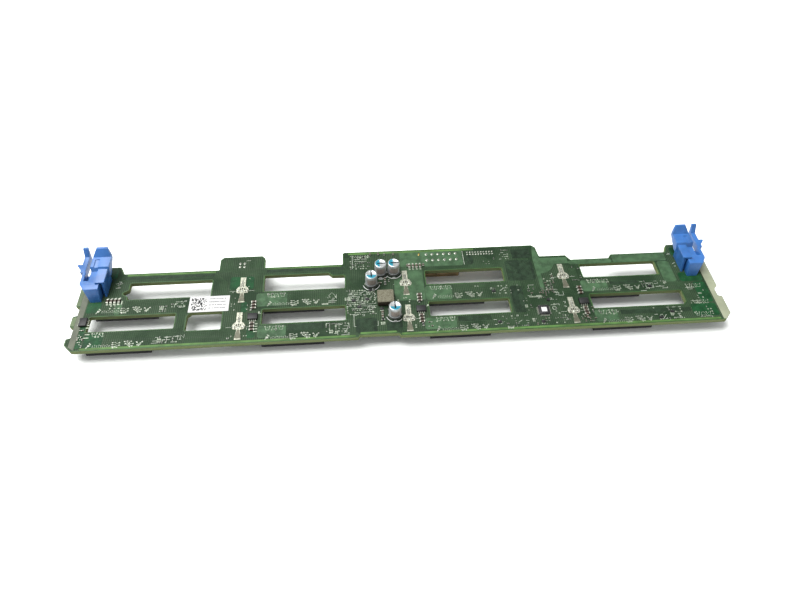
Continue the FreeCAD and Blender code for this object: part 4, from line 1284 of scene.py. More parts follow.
    def place(self, kind: Bit, along: float, up: float, random_state: random.Random) -> None:
        """Set down one bit.

        Args:
            kind: What it is.
            along: Its place along the board.
            up: Its place up the board.
            random_state: The random numbers.
        """
        turn = random_state.choice((0.0, math.pi / 2))
        if kind in (Bit.CHIP_RESISTOR, Bit.CERAMIC):
            self.chip(along, up, turn, kind is Bit.CERAMIC, random_state.uniform(0.8, 1.0))
        elif kind is Bit.PAD:
            self.pad(along, up, turn, (random_state.uniform(0.8, 1.5), random_state.uniform(0.7, 1.2), 1))
        elif kind is Bit.VIA:
            self.via(along, up)
        else:
            self.stroke(along, up, kind, random_state)

    def build(self) -> None:
        """Fill every cluster and finish the pieces."""
        random_state = random.Random(self.seed)
        for cluster in CLUSTERS:
            self.fill(cluster, random_state)
        self.terminals()
        for path in PRINTED:
            self.print.route(path)
        for along, up, width, height in BLOCKS:
            self.block(along, up, width, height)
        for along, up, width, height in LONG_PADS:
            self.pad(along, up, 0.0, (width / self.pad_width, height, 1.0))
        for along, up, turn, brown, size in SINGLES:
            self.chip(along, up, math.radians(turn), brown, size)
        for along, up in BLACK_PARTS:
            self.black_part(along, up)
        self.specials()
        for stamp in (self.resistor, self.ceramic, self.ends, self.pads, self.vias, self.holes, self.bodies,
                      self.rounds, self.gilt):
            stamp.finish_piece()
        for lines in (self.print, self.rings_and_highlights, self.tinned):
            lines.finish_piece()

    def terminals(self) -> None:
        """Set down the rows of U-shaped test terminals beside the air windows."""
        for left, right, up in TERMINAL_ROWS:
            count = round((right - left) / self.terminal_pitch)
            for index in range(count):
                along = left + (index + 0.5) * (right - left) / count
                rise = -self.terminal_rise if index % 2 else self.terminal_rise
                top, foot = self.terminal_top, self.terminal_foot
                self.tinned.route([(along - top, up + rise), (along - foot, up - rise),
                                   (along + foot, up - rise), (along + top, up + rise)])
                self.pad(along - top, up + rise, 0.3, (0.9, 0.9, 1))
                self.pad(along + top, up + rise, -0.3, (0.9, 0.9, 1))
                self.via(along, up + rise * 0.6, 0.9)

    def black_part(self, along: float, up: float) -> None:
        """Set down one small black part between two legs below it and one above.

        Args:
            along: Its place along the board.
            up: Its place up the board.
        """
        self.bodies.at(self.board.spot(along, up))
        for across, aside in ((-0.85, -1.2), (0.85, -1.2), (0.0, 1.2)):
            self.pad(along + across, up + aside, 0.0, (0.8, 0.9, 1.4))

    def specials(self) -> None:
        """Set down the round part, its printed ring, the gilt pad, and the white arcs round the front of
        each can's foot, partly a printed ring and partly a painted highlight of the foot and its base.
        """
        self.rounds.at(self.board.spot(*self.round_part))
        self.ring(*self.printed_ring, 0, 360, self.print)
        self.gilt.at(self.board.spot(*self.gilt_pad))
        for number in COLUMNS:
            low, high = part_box(f"capacitor_can_{number}")
            centre = (Vector(low) + Vector(high)) / 2
            along = (centre.x - self.board.middle) / MM
            up = (centre.y - self.board.low[1]) / MM
            # white arcs: partly a printed ring, partly the painted highlight of the can's foot and base edge
            for radius in self.can_arcs:
                self.ring(along, up, radius, *self.arc_ends, self.rings_and_highlights)

    @staticmethod
    def ring(along: float, up: float, radius: float, start: float, end: float, lines: Lines) -> None:
        """Print an arc round a place.

        Args:
            along: The place along the board.
            up: The place up the board.
            radius: The arc's radius in millimetres.
            start: Its first angle in degrees.
            end: Its last angle in degrees.
            lines: The lines that it joins.
        """
        count = max(8, round((end - start) / 12))
        angles = [math.radians(start + (end - start) * step / count) for step in range(count + 1)]
        lines.route([(along + radius * math.cos(angle), up + radius * math.sin(angle)) for angle in angles])

    def block(self, along: float, up: float, width: float, height: float) -> None:
        """Set down a block of small pads side by side.

        Args:
            along: The block's middle along the board.
            up: Its middle up the board.
            width: Its width in millimetres.
            height: Its height in millimetres.
        """
        across, upward = max(1, round(width / 0.9)), max(1, round(height / 1.2))
        for column in range(across):
            for line in range(upward):
                self.pad(along + (column + 0.5) * width / across - width / 2,
                         up + (line + 0.5) * height / upward - height / 2, 0.0,
                         (width / across * 0.95, height / upward * 0.8, 0.8))


# the tinned strokes of a drive connector's three groups of joints, from each group's middle
FIRST_STROKES = (
    ((-2.4, 1.9), (-0.6, 2.0), (0.4, 0.9), (1.9, 1.6)), ((-2.2, 0.4), (-0.4, 0.3), (0.6, -0.7), (2.0, -0.2)),
    ((-2.0, -1.2), (-0.4, -1.1)), ((-1.6, -2.0), (0.8, -1.7)),
)
SECOND_STROKES = (
    ((-2.8, 2.4), (-1.0, 1.6), (-0.2, 0.4)), ((-1.2, 2.6), (1.2, 2.3)),
    ((-2.0, 0.8), (-0.4, -0.6), (0.8, -1.6)), ((0.2, 1.2), (1.6, 0.3), (2.6, 0.6)),
    ((0.6, -0.4), (2.2, -1.2)),
)
THIRD_STROKES = (
    ((-1.6, 1.6), (-0.4, 0.2), (0.0, -1.2)), ((1.8, 1.7), (0.8, 0.6)), ((-1.0, -0.6), (0.6, -0.3)),
)


@dataclass
class ConnectorJoints:
    """Solder joints of the drive connectors, as they come through on the rear face."""

    board: Board
    parts: SmallParts
    line_below: float = 3.4
    leaf: float = -15.2
    dots_start: float = -12.6
    dot_pitch: float = 1.27
    dots: int = 10
    first_group: float = 1.6
    second_group: float = 9.3
    third_group: float = 15.6

    def build(self) -> None:
        """Set down the joints of all eight drive connectors."""
        for name in ROWS:
            for number in COLUMNS:
                self.one(self.board.column(number), self.board.row(name) - self.line_below)

    def one(self, column: float, line: float) -> None:
        """Set down one connector's joints.

        Args:
            column: The connector's middle along the board.
            line: Its line of pins up the board.
        """
        parts = self.parts
        for index in range(self.dots):
            along = column + self.dots_start + index * self.dot_pitch
            parts.via(along, line + 0.45 * (index % 2), 0.8)
            parts.pad(along, line - 0.9, 0.0, (0.35, 0.9, 0.6))
        parts.via(column + self.leaf, line + 0.2, 2.2)
        parts.pad(column + self.leaf + 0.7, line + 1.6, 0.8, (0.8, 2.0, 1))
        parts.pad(column + self.leaf - 0.9, line - 1.1, -0.5, (0.8, 1.4, 1))
        for start, strokes in ((self.first_group, FIRST_STROKES), (self.second_group, SECOND_STROKES),
                               (self.third_group, THIRD_STROKES)):
            for stroke in strokes:
                path = [(column + start + across, line + rise) for across, rise in stroke]
                parts.tinned.route(path)
                parts.via(*path[0], 1.3)
                parts.pad(*path[-1], 0.5, (1.1, 0.9, 1))


@dataclass
class GroundPads:
    """The six tinned ground pads: solder lumps, dark eyes, a leaf on the tail and printed lines."""

    board: Board
    seed: int = 3
    line_reach: tuple[float, float] = (4.6, 8.4)
    hub_drop: float = 10.4
    line_drop: float = 1.2

    def build(self) -> None:
        """Dress the pads and set their details on them."""
        dress(Finish.DULL_TIN, "ground_pads")
        lump = turned([(0.9, 0), (0.78, 0.16), (0.45, 0.3), (0, 0.36)], 12)
        self.lumps = Stamp("ground_lumps", lump, Finish.TIN, "tinned_pad")
        self.eyes = Stamp("ground_eyes", rounded_block((0.7, 0.75, 0.3), 0.1, 2), Finish.HOLE, "board")
        leaf = plate([(0, 0), (0.6, -0.8), (0.9, -3.0), (1.5, -5.6), (1.4, -6.5), (0.9, -6.9), (-0.9, -6.9),
                      (-1.4, -6.5), (-1.5, -5.6), (-0.9, -3.0), (-0.6, -0.8)], 0.1)
        self.leaves = Stamp("ground_leaves", leaf, Finish.GREY_TIN, "tinned_pad", smooth=False)
        self.slots = Stamp("ground_slots", rounded_block((0.26, 4.4, 0.08), 0, 1), Finish.HOLE, "board")
        self.print = Lines(self.board, "ground_lines", Finish.SILK, "label_white", 0.24, 0.02)
        state = random.Random(self.seed)
        for low, high in islands("ground_pads"):
            self.one((low + high) / 2, high.z, (high.y - low.y) / MM, state)
        for stamp in (self.lumps, self.eyes, self.leaves, self.slots):
            stamp.finish_piece()
        self.print.finish_piece()

    def one(self, centre: Vector, top: float, length: float, state: random.Random) -> None:
        """Set one pad's details down.

        Args:
            centre: The pad's middle, in metres.
            top: The height of its top, in metres.
            length: Its length up the board, in millimetres.
            state: The random numbers.
        """
        hub = Vector((centre.x, centre.y + (length / 2 - self.hub_drop) * MM, top))
        near, far = self.line_reach
        along = (hub.x - self.board.middle) / MM
        up = (hub.y - self.board.low[1]) / MM - self.line_drop

        def beside(across: float, up: float) -> Vector:
            """Give a place on the pad from its hub, in millimetres."""
            return hub + Vector((across, up, 0)) * MM

        for side in SIDES:
            self.lumps.at(beside(side * 2.9, -1.0), side * 0.5, (1.25, 0.9, 0.9))
            self.lumps.at(beside(side * 1.9, 0.9), side * 0.9, (0.7, 0.8, 0.8))
            self.eyes.at(beside(side * 1.3, 0.1), side * 0.3, (0.9, 1.5, 1.1))
            self.eyes.at(beside(side * 2.2, -2.2), side * 0.4, (1.5, 0.7, 0.8))
            self.slots.at(beside(side * 0.55, 4.6))
            self.print.route([(along + side * near, up), (along + side * far, up)])
        self.lumps.at(beside(0, -1.4), 0.0, (0.9, 1.5, 1.1))
        self.eyes.at(beside(0, 0.5), 0.0, (1.0, 1.2, 1.3))
        for step in range(4):
            self.lumps.at(beside(state.uniform(-0.2, 0.2), 2.6 + step * 2.0), 0.0, (0.42, 1.2, 0.7))
        self.leaves.at(beside(0, -3.0), 0.0, (1.35, 1.05, 1.0))


@dataclass
class HeaderJoints:
    """Solder joints and pin tails of the cable headers, standing up on the rear face."""

    board: Board

    def build(self) -> None:
        """Set a joint over every pin of the three headers."""
        self.joints("power", "power_pins", 1.0, 0.8)
        self.joints("signal", "signal_pins", 0.6, 0.5)
        self.joints("aux", "aux_pins", 0.85, 0.6)

    def joints(self, name: str, node: str, radius: float, height: float) -> None:
        """Set down one header's joints.

        Args:
            name: The header's name.
            node: The node of its pins.
            radius: A joint's radius at the board, in millimetres.
            height: A joint's height in millimetres.
        """
        cone = turned([(radius, 0), (radius, 0.06), (radius * 0.62, height * 0.3),
                       (radius * 0.42, height * 0.75), (radius * 0.36, height), (0, height * 1.12)], 16)
        stamp = Stamp(f"{name}_header_joints", cone, Finish.TIN, "tinned_pad")
        for low, high in islands(node):
            stamp.at(Vector(((low.x + high.x) / 2, (low.y + high.y) / 2, self.board.rear)))
        stamp.finish_piece()


@dataclass
class Routing:
    """Bundles of traces and the copper areas of the rear face."""

    board: Board
    width: float = 0.26
    pitch: float = 0.62

    def build(self) -> None:
        """Lay the copper areas, then the traces over them."""
        self.lay_areas()
        self.lay_strips()
        self.lay_traces()

    def lay_areas(self) -> None:
        """Lay the lighter and deeper copper areas, the painted shadows beside the clips, the fields of dense
        routing, and the painted highlight bands along the edges.
        """
        pours = Pours(self.board)
        box = pours.field_of
        pours.area("light_pours", Finish.POUR, [
            box(-1.5, 57.2, 43.0, 72.2), box(117.6, 53.6, 149.0, 57.2), box(150.0, 53.6, 189.0, 60.6),
            [(92.8, 31.0), (95.2, 31.0), (95.8, 46.4), (100.5, 47.2), (104.6, 50.6), (107.4, 54.8),
             (117.5, 54.8), (117.5, 60.6), (97.8, 60.8), (95.8, 71.6), (94.4, 71.6), (92.8, 60.6)],
            box(181.0, 34.0, 189.6, 52.8),
            [(-7.0, 28.0), (13.2, 28.0), (13.2, 56.8), (-1.6, 56.8), (-1.6, 48.4), (-7.0, 46.0)],
            box(10.6, 3.6, 31.6, 12.8),
            box(13.6, 27.6, 31.6, 39.6), box(-99.6, 28.6, -79.0, 39.6), box(-97.0, 3.2, -79.0, 12.8),
            box(121.4, 28.6, 139.6, 38.4), box(124.2, 3.0, 139.6, 12.8), box(-190.8, 27.4, -186.4, 36.0),
        ])
        pours.area("deep_pours_and_clip_shadows", Finish.DEEP_POUR_AND_CLIP_SHADOW, [
            box(-204.5, 1.6, -193.0, 12.6), box(-208.6, 29.2, -199.8, 38.4),
            box(-118.0, 43.8, -102.0, 55.0), box(-208.8, 2.0, -205.6, 20.0, 0.3),
            # the last two boxes on this line are painted shadow on the board beside the left and right clips
            box(191.0, 3.6, 208.4, 14.0), box(-198.5, 58.0, -194.5, 66.5), box(194.4, 57.6, 199.0, 65.6),
            box(-104.0, 3.6, -98.5, 12.5), box(192.2, 33.6, 208.4, 41.6), box(199.8, 15.0, 208.4, 32.6),
            box(-109.0, 24.0, -105.0, 33.0),
        ], 0.002)
        pours.area("dense_fields", Finish.DENSE, [
            box(44.0, 57.5, 50.2, 66.0), box(78.4, 61.5, 92.0, 69.6, 0.6), box(72.0, 41.0, 91.6, 59.5),
            box(71.6, 13.5, 79.8, 36.5), box(-190.0, 56.6, -129.0, 58.8, 0.4),
            box(-94.0, 57.8, -41.2, 60.4, 0.4), box(-34.0, 3.0, -20.4, 15.0),
            box(142.0, 8.2, 190.0, 11.6, 0.4), box(142.0, 33.6, 162.0, 36.4, 0.4),
            box(-78.0, 8.0, -55.0, 13.0, 0.4), box(33.0, 8.6, 55.0, 12.8, 0.4),
            box(-14.0, 4.0, -4.0, 11.0, 0.4),
        ], 0.001)
        # painted highlight: pale bands that follow the board's edges
        pours.area("painted_highlight_bands", Finish.HIGHLIGHT_BAND, [
            box(-206.0, 0.7, -34.2, 2.1, 0.6), box(-31.6, 2.5, -7.8, 3.9, 0.6),
            box(-5.2, 0.7, 208.0, 2.1, 0.6), box(-38.0, 71.0, 52.0, 72.6, 0.6),
            box(-188.0, 59.6, -128.6, 61.0, 0.5), box(-94.0, 60.6, -42.4, 61.6, 0.4),
        ], 0.003)

    def lay_strips(self) -> None:
        """Lay the bare strips where the two ends slide in the casing's guides."""
        pours = Pours(self.board)
        end = (self.board.high[0] - self.board.low[0]) / 2 / MM
        edge = -end + 2.9
        inner = edge + self.board.side_strip
        pours.area("left_bare_strip", Finish.GREY_BARE, [
            [(edge, 3.2), (inner, 0.6), (inner, 56.0), (edge, 56.0)],
        ], 0.004)
        pours.area("left_bare_tabs", Finish.GREEN_BARE, [
            [(-end + 0.15, 36.0), (-end + 2.8, 35.6), (-end + 2.8, 55.8), (-end + 0.15, 55.4)],
            [(-end + 0.15, 19.8), (-end + 2.8, 19.2), (-end + 2.8, 26.6), (-end + 0.15, 26.4)],
        ], 0.004)
        pours.area("right_bare_strip", Finish.BARE, [
            [(end - 6.4, 0.5), (end - 4.6, 0.5), (end - 0.2, 5.2), (end - 0.2, 18.9), (end - 2.9, 20.0),
             (end - 2.9, 25.4), (end - 0.2, 28.4), (end - 0.2, 55.8), (end - 6.4, 55.8)],
        ], 0.004)

    def lay_traces(self) -> None:
        """Lay the bundles of traces."""
        lines = Lines(self.board, "traces", Finish.TRACE, "board", self.width)
        pitch = self.pitch
        # along the rails over and under the air windows
        lines.bundle([(-191, 57.6), (-130, 57.6), (-122, 49.6), (-122, 14), (-118, 10), (-98, 10)], 8, pitch)
        lines.bundle([(-128, 62), (-118, 62), (-112, 58.8), (-42, 58.8), (-38, 54.8), (-38, 44)], 7, pitch)
        lines.bundle([(-191, 10.4), (-150, 10.4), (-146.4, 14), (-146.4, 27), (-143.5, 30)], 7, pitch)
        lines.bundle([(-190, 4.2), (-164, 4.2)], 4, pitch)
        lines.bundle([(-142, 9.6), (-120, 9.6), (-116, 5.6), (-97, 5.6)], 8, pitch)
        lines.bundle([(-142, 4.0), (-120, 4.0)], 5, pitch)
        lines.bundle([(-79, 10.6), (-56, 10.6)], 9, pitch)
        lines.bundle([(-78, 35.8), (-44, 35.8), (-38, 30), (-38, 14)], 7, pitch)
        lines.bundle([(-185, 35.6), (-150, 35.6), (-146, 31.6)], 6, pitch)
        # down the left tab and the middle
        for along in (-124.5, -119.5, -104.5, -99.8):
            lines.bundle([(along, 70.5), (along, 62.5)], 6, pitch)
        lines.bundle([(-99.2, 57), (-99.2, 41)], 8, pitch)
        lines.bundle([(-39, 68), (-39, 46), (-33, 40), (-33, 34)], 6, pitch)
        lines.bundle([(-27, 16.5), (-27, 4)], 14, pitch)
        lines.bundle([(-12, 5), (6, 5), (10, 1.8)], 4, pitch)
        # from the right data connector down to the lower columns
        lines.bundle([(86, 61), (86, 33), (80, 27), (80, 12), (74, 6), (58, 6)], 12, pitch)
        lines.bundle([(74, 59), (74, 40), (71.6, 37.6), (50, 37.6)], 5, pitch)
        lines.bundle([(45.5, 66), (45.5, 60), (49, 56.5), (72, 56.5), (78, 50.5), (78, 34)], 6, pitch)
        lines.bundle([(54, 66), (60, 60), (72, 60), (76, 64), (79, 64)], 6, pitch)
        lines.bundle([(34, 10.4), (56, 10.4)], 8, pitch)
        lines.bundle([(33, 37.8), (55, 37.8)], 4, pitch)
        lines.bundle([(103, 30), (112, 30), (116, 26), (116, 18)], 6, pitch)
        lines.bundle([(143, 10.4), (188, 10.4), (192.6, 15), (192.6, 28), (188, 32.6), (143, 35.6)],
                     7, pitch)
        lines.bundle([(118.5, 50), (118.5, 34)], 8, pitch)
        lines.bundle([(189, 31.6), (199, 31.6)], 6, pitch)
        lines.bundle([(12, 55.4), (70, 55.4)], 4, pitch)
        lines.bundle([(8, 50), (8, 40)], 5, pitch)
        lines.finish_piece()


@dataclass
class PowerParts:
    """The capacitors and the choke."""

    board: Board
    turns: tuple[float, ...] = (0.0, -math.pi / 2, -math.pi / 2, 0.0)
    radius: float = 4.0
    rounding: float = 0.7
    dish_rim: float = 1.0
    dish_depth: float = 0.06
    groove: float = 1.0
    groove_depth: float = 0.42
    groove_half: float = 0.5
    choke_rim: float = 0.45
    base_rim: float = 0.18
    steps: int = 64

    def build(self) -> None:
        """Build the four cans, their bases and terminals, and the choke."""
        for number, turn in enumerate(self.turns, start=1):
            self.can(number, turn)
        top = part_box("choke_core")[1][2]
        softened("choke_core", self.choke_rim, PressedIron().material(top), "choke_tan")
        dress(Finish.TIN, "choke_terminals")

    def profile(self, tall: float) -> list[Point]:
        """Draw a can's half section: a shallow dish, a rounded rim, and a crimp above the foot.

        Args:
            tall: The can's height in millimetres.

        Returns:
            The section's points as radii and heights, from the top's middle to the foot's.
        """
        radius, rounding, groove, half = self.radius, self.rounding, self.groove, self.groove_half
        dish = tall - self.dish_depth
        rim = [(radius - rounding + rounding * math.sin(step * math.pi / 8),
                tall - rounding + rounding * math.cos(step * math.pi / 8)) for step in range(5)]
        crimp = [(radius, groove + half), (radius - 0.12, groove + 0.34),
                 (radius - self.groove_depth, groove), (radius - 0.12, groove - 0.34),
                 (radius, groove - half)]
        return [(0, dish), (radius - self.dish_rim, dish), (radius - 0.86, tall), *rim, *crimp,
                (radius, 0.1), (radius - 0.1, 0), (0, 0)]

    def can(self, number: int, turn: float) -> None:
        """Build one can over its base.

        Args:
            number: The capacitor's number.
            turn: The turn of the mark on its top, in radians.
        """
        node = f"capacitor_can_{number}"
        low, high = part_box(node)
        centre = (Vector(low) + Vector(high)) / 2
        form = turned(self.profile((high[2] - low[2]) / MM), self.steps)
        bmesh.ops.translate(form, vec=(centre.x, centre.y, low[2]), verts=form.verts)
        finish = CanMetal(f"can_metal_{number}").material(centre, low[2], high[2], turn)
        add_piece(f"can_{number}", to_mesh(form), finish, "can_metal", node, smooth=True)
        softened(f"capacitor_base_{number}", self.base_rim, Finish.GREY_BASE, "black_base")
        tab = Stamp(f"can_terminals_{number}", rounded_block((0.9, 1.5, 0.25), 0.06, 1), Finish.TIN,
                    "tinned_pin")
        base_low, base_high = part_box(f"capacitor_base_{number}")
        for along in (base_low[0], base_high[0]):
            tab.at(Vector((along, centre.y, self.board.rear)))
        tab.finish_piece()


@dataclass
class Chips:
    """The driver chips, the controller, their leads, and the stacked ceramic parts."""

    board: Board
    lead_rise: float = 0.75
    lead_thick: float = 0.16
    chip_rim: float = 0.12
    ceramic_end: float = 1.28
    ceramic_joint: float = 1.62
    ceramic_land: float = 2.5

    def lead(self, reach: float, width: float) -> bmesh.types.BMesh:
        """Make one gull-wing lead: out of the chip, down, and flat on its pad, running along +X.

        Args:
            reach: Its length from the chip, in millimetres.
            width: Its width in millimetres.

        Returns:
            The lead.
        """
        rise, thick = self.lead_rise, self.lead_thick
        side = [(-0.35, rise), (0.1, rise), (reach * 0.55, thick), (reach, thick), (reach, 0),
                (reach * 0.5, 0), (0.02, rise - thick), (-0.35, rise - thick)]
        form = plate(side, width)
        bmesh.ops.rotate(form, cent=(0, 0, 0), matrix=Matrix.Rotation(math.pi / 2, 3, "X"), verts=form.verts)
        bmesh.ops.translate(form, vec=(0, width / 2 * MM, 0), verts=form.verts)
        return form

    def leads(self, name: str, node: str, chips: Sequence[str]) -> None:
        """Replace a node of flat leads with bent ones.

        Args:
            name: The new piece's name.
            node: The node of flat leads.
            chips: The nodes of the chips that the leads come from.
        """
        spans = islands(node)
        low, high = spans[0]
        sizes = sorted(((high.x - low.x) / MM, (high.y - low.y) / MM))
        stamp = Stamp(name, self.lead(sizes[1], sizes[0]), Finish.TIN, "tinned_pin", smooth=False)
        pads = Stamp(f"{name}_pads", rounded_block((sizes[1] * 1.1, sizes[0] * 1.5, 0.08), 0.03, 1),
                     Finish.TIN, "tinned_pad")
        for low, high in spans:
            centre = (low + high) / 2
            chip = min(chips, key=lambda item: (Vector(self.centre(item)) - centre.xy).length)
            offset = centre.xy - Vector(self.centre(chip))
            lengthwise = (high.x - low.x) > (high.y - low.y)
            turn = (0.0 if offset.x > 0 else math.pi) if lengthwise else math.copysign(math.pi / 2, offset.y)
            inner = centre - Vector((math.cos(turn), math.sin(turn), 0)) * (sizes[1] / 2 * MM)
            stamp.at(Vector((inner.x, inner.y, self.board.rear)), turn)
            pads.at(Vector((centre.x, centre.y, self.board.rear)), turn)
        stamp.finish_piece(node)
        pads.finish_piece()

    @staticmethod
    def centre(node: str) -> Point:
        """Give a node's middle in metres."""
        low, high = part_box(node)
        return (low[0] + high[0]) / 2, (low[1] + high[1]) / 2

    def ceramics(self) -> None:
        """Replace the plain ceramic blocks with bodies between tinned ends."""
        body = Stamp("ceramic_bodies", rounded_block((2.1, 1.5, 1.15), 0.12, 2), Finish.BROWN,
                     "ceramic_brown")
        ends = Stamp("ceramic_ends", rounded_block((0.62, 1.6, 1.2), 0.14, 2), Finish.TIN, "tinned_pin")
        joint = Stamp("ceramic_joints", rounded_block((0.5, 1.5, 0.5), 0.22, 2), Finish.TIN, "tinned_pad")
        land = Stamp("ceramic_lands", rounded_block((1.1, 1.2, 0.1), 0.04, 1), Finish.PAD_TIN, "tinned_pad")
        for low, high in islands("ceramic_capacitors"):
            centre = (low + high) / 2
            turn = 0.0 if (high.x - low.x) > (high.y - low.y) else math.pi / 2
            heading = Vector((math.cos(turn), math.sin(turn), 0))
            base = Vector((centre.x, centre.y, self.board.rear))
            body.at(base, turn)
            for side in SIDES:
                ends.at(base + heading * side * self.ceramic_end * MM, turn)
                joint.at(base + heading * side * self.ceramic_joint * MM, turn)
                if turn:
                    land.at(base + heading * side * self.ceramic_land * MM, turn)
        body.finish_piece("ceramic_capacitors")
        for stamp in (ends, joint, land):
            stamp.finish_piece()

    def build(self) -> None:
        """Build the chips, their leads and the ceramic parts."""
        drivers = [f"driver_chip_{number}" for number in COLUMNS]
        for node in (*drivers, "controller_chip"):
            softened(node, self.chip_rim, Finish.EPOXY, "chip_black")
        self.leads("driver_leads", "driver_chip_leads", drivers)
        self.leads("controller_lead_wings", "controller_leads", ["controller_chip"])
        dress(Finish.PAPER, "controller_sticker")
        self.ceramics()


@dataclass
class Label:
    """The paper label: a block of plain cells on its left and four broken bars on its right."""

    cells: int = 14
    filled: float = 0.52
    seed: int = 5
    margin: float = 1.3
    mark_height: float = 0.012
    bars: int = 4
    bar_width: float = 0.8
    bar_pitch: float = 2.55

    def build(self) -> None:
        """Dress the label and print its marks."""
        dress(Finish.PAPER, "paper_label")
        state = random.Random(self.seed)
        self.low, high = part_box("paper_label")
        self.top = high[2]
        self.width, self.height = (high[0] - self.low[0]) / MM, (high[1] - self.low[1]) / MM
        self.print_cells(state)
        self.print_bars(state)

    def spot(self, along: float, up: float) -> Vector:
        """Give a place on the label from its lower left corner, in millimetres."""
        return Vector((self.low[0] + along * MM, self.low[1] + up * MM, self.top))

    def print_cells(self, state: random.Random) -> None:
        """Print the block of plain cells.

        Args:
            state: The random numbers.
        """
        cell = (self.height - 2 * self.margin) / self.cells
        marks = Stamp("label_cells", rounded_block((cell, cell, self.mark_height), 0), Finish.INK,
                      "label_white", smooth=False)
        for column in range(self.cells):
            for line in range(self.cells):
                if state.random() < self.filled:
                    place = self.spot(*(self.margin + (step + 0.5) * cell for step in (column, line)))
                    marks.at(place)
        marks.finish_piece()

    def print_bars(self, state: random.Random) -> None:
        """Print the broken bars.

        Args:
            state: The random numbers.
        """
        marks = Stamp("label_bars", rounded_block((1, self.bar_width, self.mark_height), 0),
                      Finish.PALE_INK, "label_white", smooth=False)
        start = self.height
        room = self.width - start - self.margin
        for line in range(self.bars):
            along = start
            while along < start + room * (0.96 - 0.08 * (line % 2)):
                length = state.uniform(0.3, 0.8)
                up = self.height - self.margin - 1.0 - line * self.bar_pitch
                marks.at(self.spot(along + length / 2, up), 0.0, (length, 1, 1))
                along += length + state.choice((0.22, 0.22, 0.22, 0.7))
        marks.finish_piece()


@dataclass
class DriveSide:
    """The side that faces the drives: connectors, headers and lights."""

    def build(self) -> None:
        """Dress the housings, the contacts and the lights."""
        for name in ROWS:
            for number in COLUMNS:
                dress(Finish.BLACK, f"drive_connector_{name}{number}")
                dress(Finish.GOLD, f"drive_contacts_{name}{number}")
        dress(Finish.CREAM, "power_header", "signal_header", "aux_header")
        dress(Finish.TIN, "power_pins")
        dress(Finish.GOLD, "signal_pins", "aux_pins")
        dress(Finish.BLACK, "data_connector_left", "data_connector_right", "data_tongue_left",
              "data_tongue_right")
        dress(Finish.LENS, "status_lights")


@dataclass
class ReleaseClips:
    """The two blue clips at the board's upper corners."""

    rim: float = 0.35

    def build(self) -> None:
        """Round the clips' edges."""
        for side in ("left", "right"):
            softened(f"{side}_release_clip", self.rim, Finish.BLUE, "clip_blue", 3, 20.0)


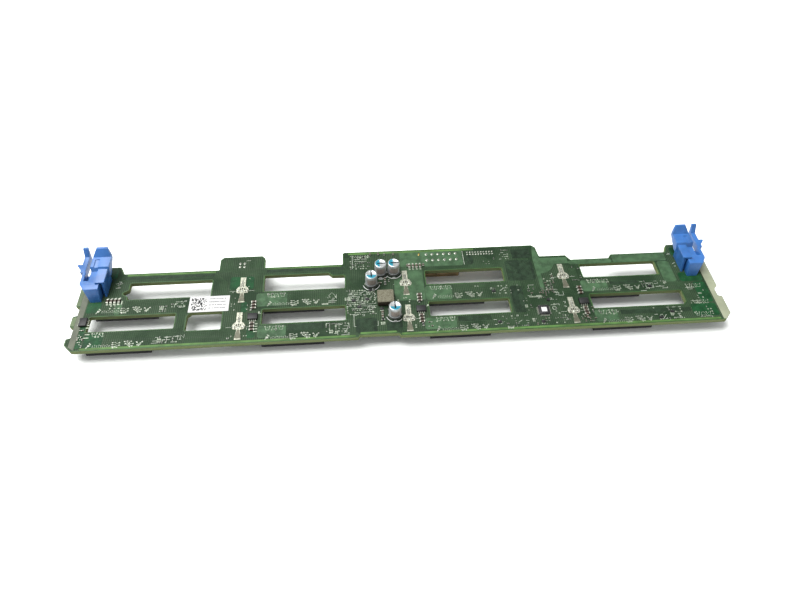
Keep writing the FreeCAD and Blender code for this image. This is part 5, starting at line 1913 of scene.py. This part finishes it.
@dataclass
class Studio:
    """The camera, the pale floor and the soft light."""

    eye: tuple[float, float, float] = (-29.1, -254.9, 331.9)
    aim: tuple[float, float, float] = (-3.1, -8.7, 15.8)
    roll: float = 2.11
    lens: float = 27.0
    floor_size: float = 6.0
    floor_glow: float = 0.02
    floor_fade: tuple[float, float] = (450.0, 1300.0)
    floor_colour: tuple[float, float, float, float] = (0.95, 0.97, 0.945, 1.0)
    header_step: float = 1.4
    sky: float = 0.56
    key: float = 200.0
    key_place: tuple[float, float, float] = (-1.2, 0.6, 2.95)
    key_size: float = 2.4

    def build(self) -> None:
        """Set up the view, the floor and the lights."""
        self.camera()
        self.floor()
        self.light()

    def camera(self) -> None:
        """Place the camera over the lower edge, looking down at the rear face."""
        data = bpy.data.cameras.new("camera")
        data.lens = self.lens
        data.sensor_width = 36.0
        data.clip_start = 0.01
        camera = bpy.data.objects.new("camera", data)
        bpy.context.scene.collection.objects.link(camera)
        eye, aim = Vector(self.eye) * MM, Vector(self.aim) * MM
        turn = (aim - eye).to_track_quat("-Z", "Y").to_matrix().to_4x4()
        roll = Matrix.Rotation(math.radians(self.roll), 4, "Z")
        camera.matrix_world = Matrix.Translation(eye) @ turn @ roll
        bpy.context.scene.camera = camera

    def floor(self) -> None:
        """Lay the floor under the lower row of drive connectors and the power header."""
        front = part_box("drive_connector_b1")[0]
        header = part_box("power_header")[0]
        contact = header[1] + self.header_step * MM
        slope = (front[2] - header[2]) / (contact - front[1])
        form = bmesh.new()
        bmesh.ops.create_grid(form, x_segments=1, y_segments=1, size=self.floor_size / 2)
        for vertex in form.verts:
            vertex.co.z = header[2] + slope * (contact - vertex.co.y)
        mesh = to_mesh(form)
        mesh.name = "floor"
        floor = bpy.data.objects.new("floor", mesh)
        bpy.context.scene.collection.objects.link(floor)
        shader = Shader("pale_floor")
        seen = Value(shader, shader.add("ShaderNodeLightPath").outputs["Is Camera Ray"])
        across, ahead, _ = shader.parts(shader.place())
        far = (across * across + ahead * ahead).power(0.5).ramp(*self.floor_fade)
        mesh.materials.append(shader.surface(
            Base_Color=self.floor_colour,
            Roughness=0.9,
            Specular_IOR_Level=0.0,
            Emission_Color=shader.mix(seen * (far + self.floor_glow), NIGHT, WHITE),
            Emission_Strength=1.0,
        ))

    def light(self) -> None:
        """Light the object softly from above and behind, under a white sky."""
        world = bpy.data.worlds.new("sky")
        shader = Shader("sky", world)
        seen = Value(shader, shader.add("ShaderNodeLightPath").outputs["Is Camera Ray"])
        lit = shader.add("ShaderNodeBackground", None, {"Color": WHITE, "Strength": self.sky})
        shown = shader.add("ShaderNodeBackground", None, {"Color": WHITE, "Strength": 1.0})
        chosen = shader.add("ShaderNodeMixShader", None, {
            0: seen, 1: Value(shader, lit.outputs[0]), 2: Value(shader, shown.outputs[0])})
        shader.add("ShaderNodeOutputWorld", None, {"Surface": Value(shader, chosen.outputs[0])})
        bpy.context.scene.world = world
        self.lamp("key", self.key_place, self.key_size, self.key)
        bpy.context.scene.view_settings.view_transform = "Standard"

    @staticmethod
    def lamp(name: str, place: tuple[float, float, float], size: float, power: float) -> None:
        """Hang one soft square light that faces the object.

        Args:
            name: The light's name.
            place: Its place in metres.
            size: Its side in metres.
            power: Its power in watts.
        """
        data = bpy.data.lights.new(name, "AREA")
        data.size = size
        data.energy = power
        lamp = bpy.data.objects.new(name, data)
        facing = Vector(place).to_track_quat("Z", "Y").to_matrix().to_4x4()
        lamp.matrix_world = Matrix.Translation(place) @ facing
        bpy.context.scene.collection.objects.link(lamp)


def main() -> None:
    """Build every part of the dressed board in order."""
    logging.basicConfig(level=logging.INFO, format="%(name)s: %(message)s")
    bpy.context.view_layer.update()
    board = Board()
    parts = SmallParts(board)
    for section in (board, Routing(board), ConnectorJoints(board, parts), parts, GroundPads(board),
                    HeaderJoints(board), PowerParts(board), Chips(board), Label(), DriveSide(),
                    ReleaseClips(), Studio()):
        log.info("building %s", type(section).__name__)
        section.build()


if __name__ == "__main__":
    main()
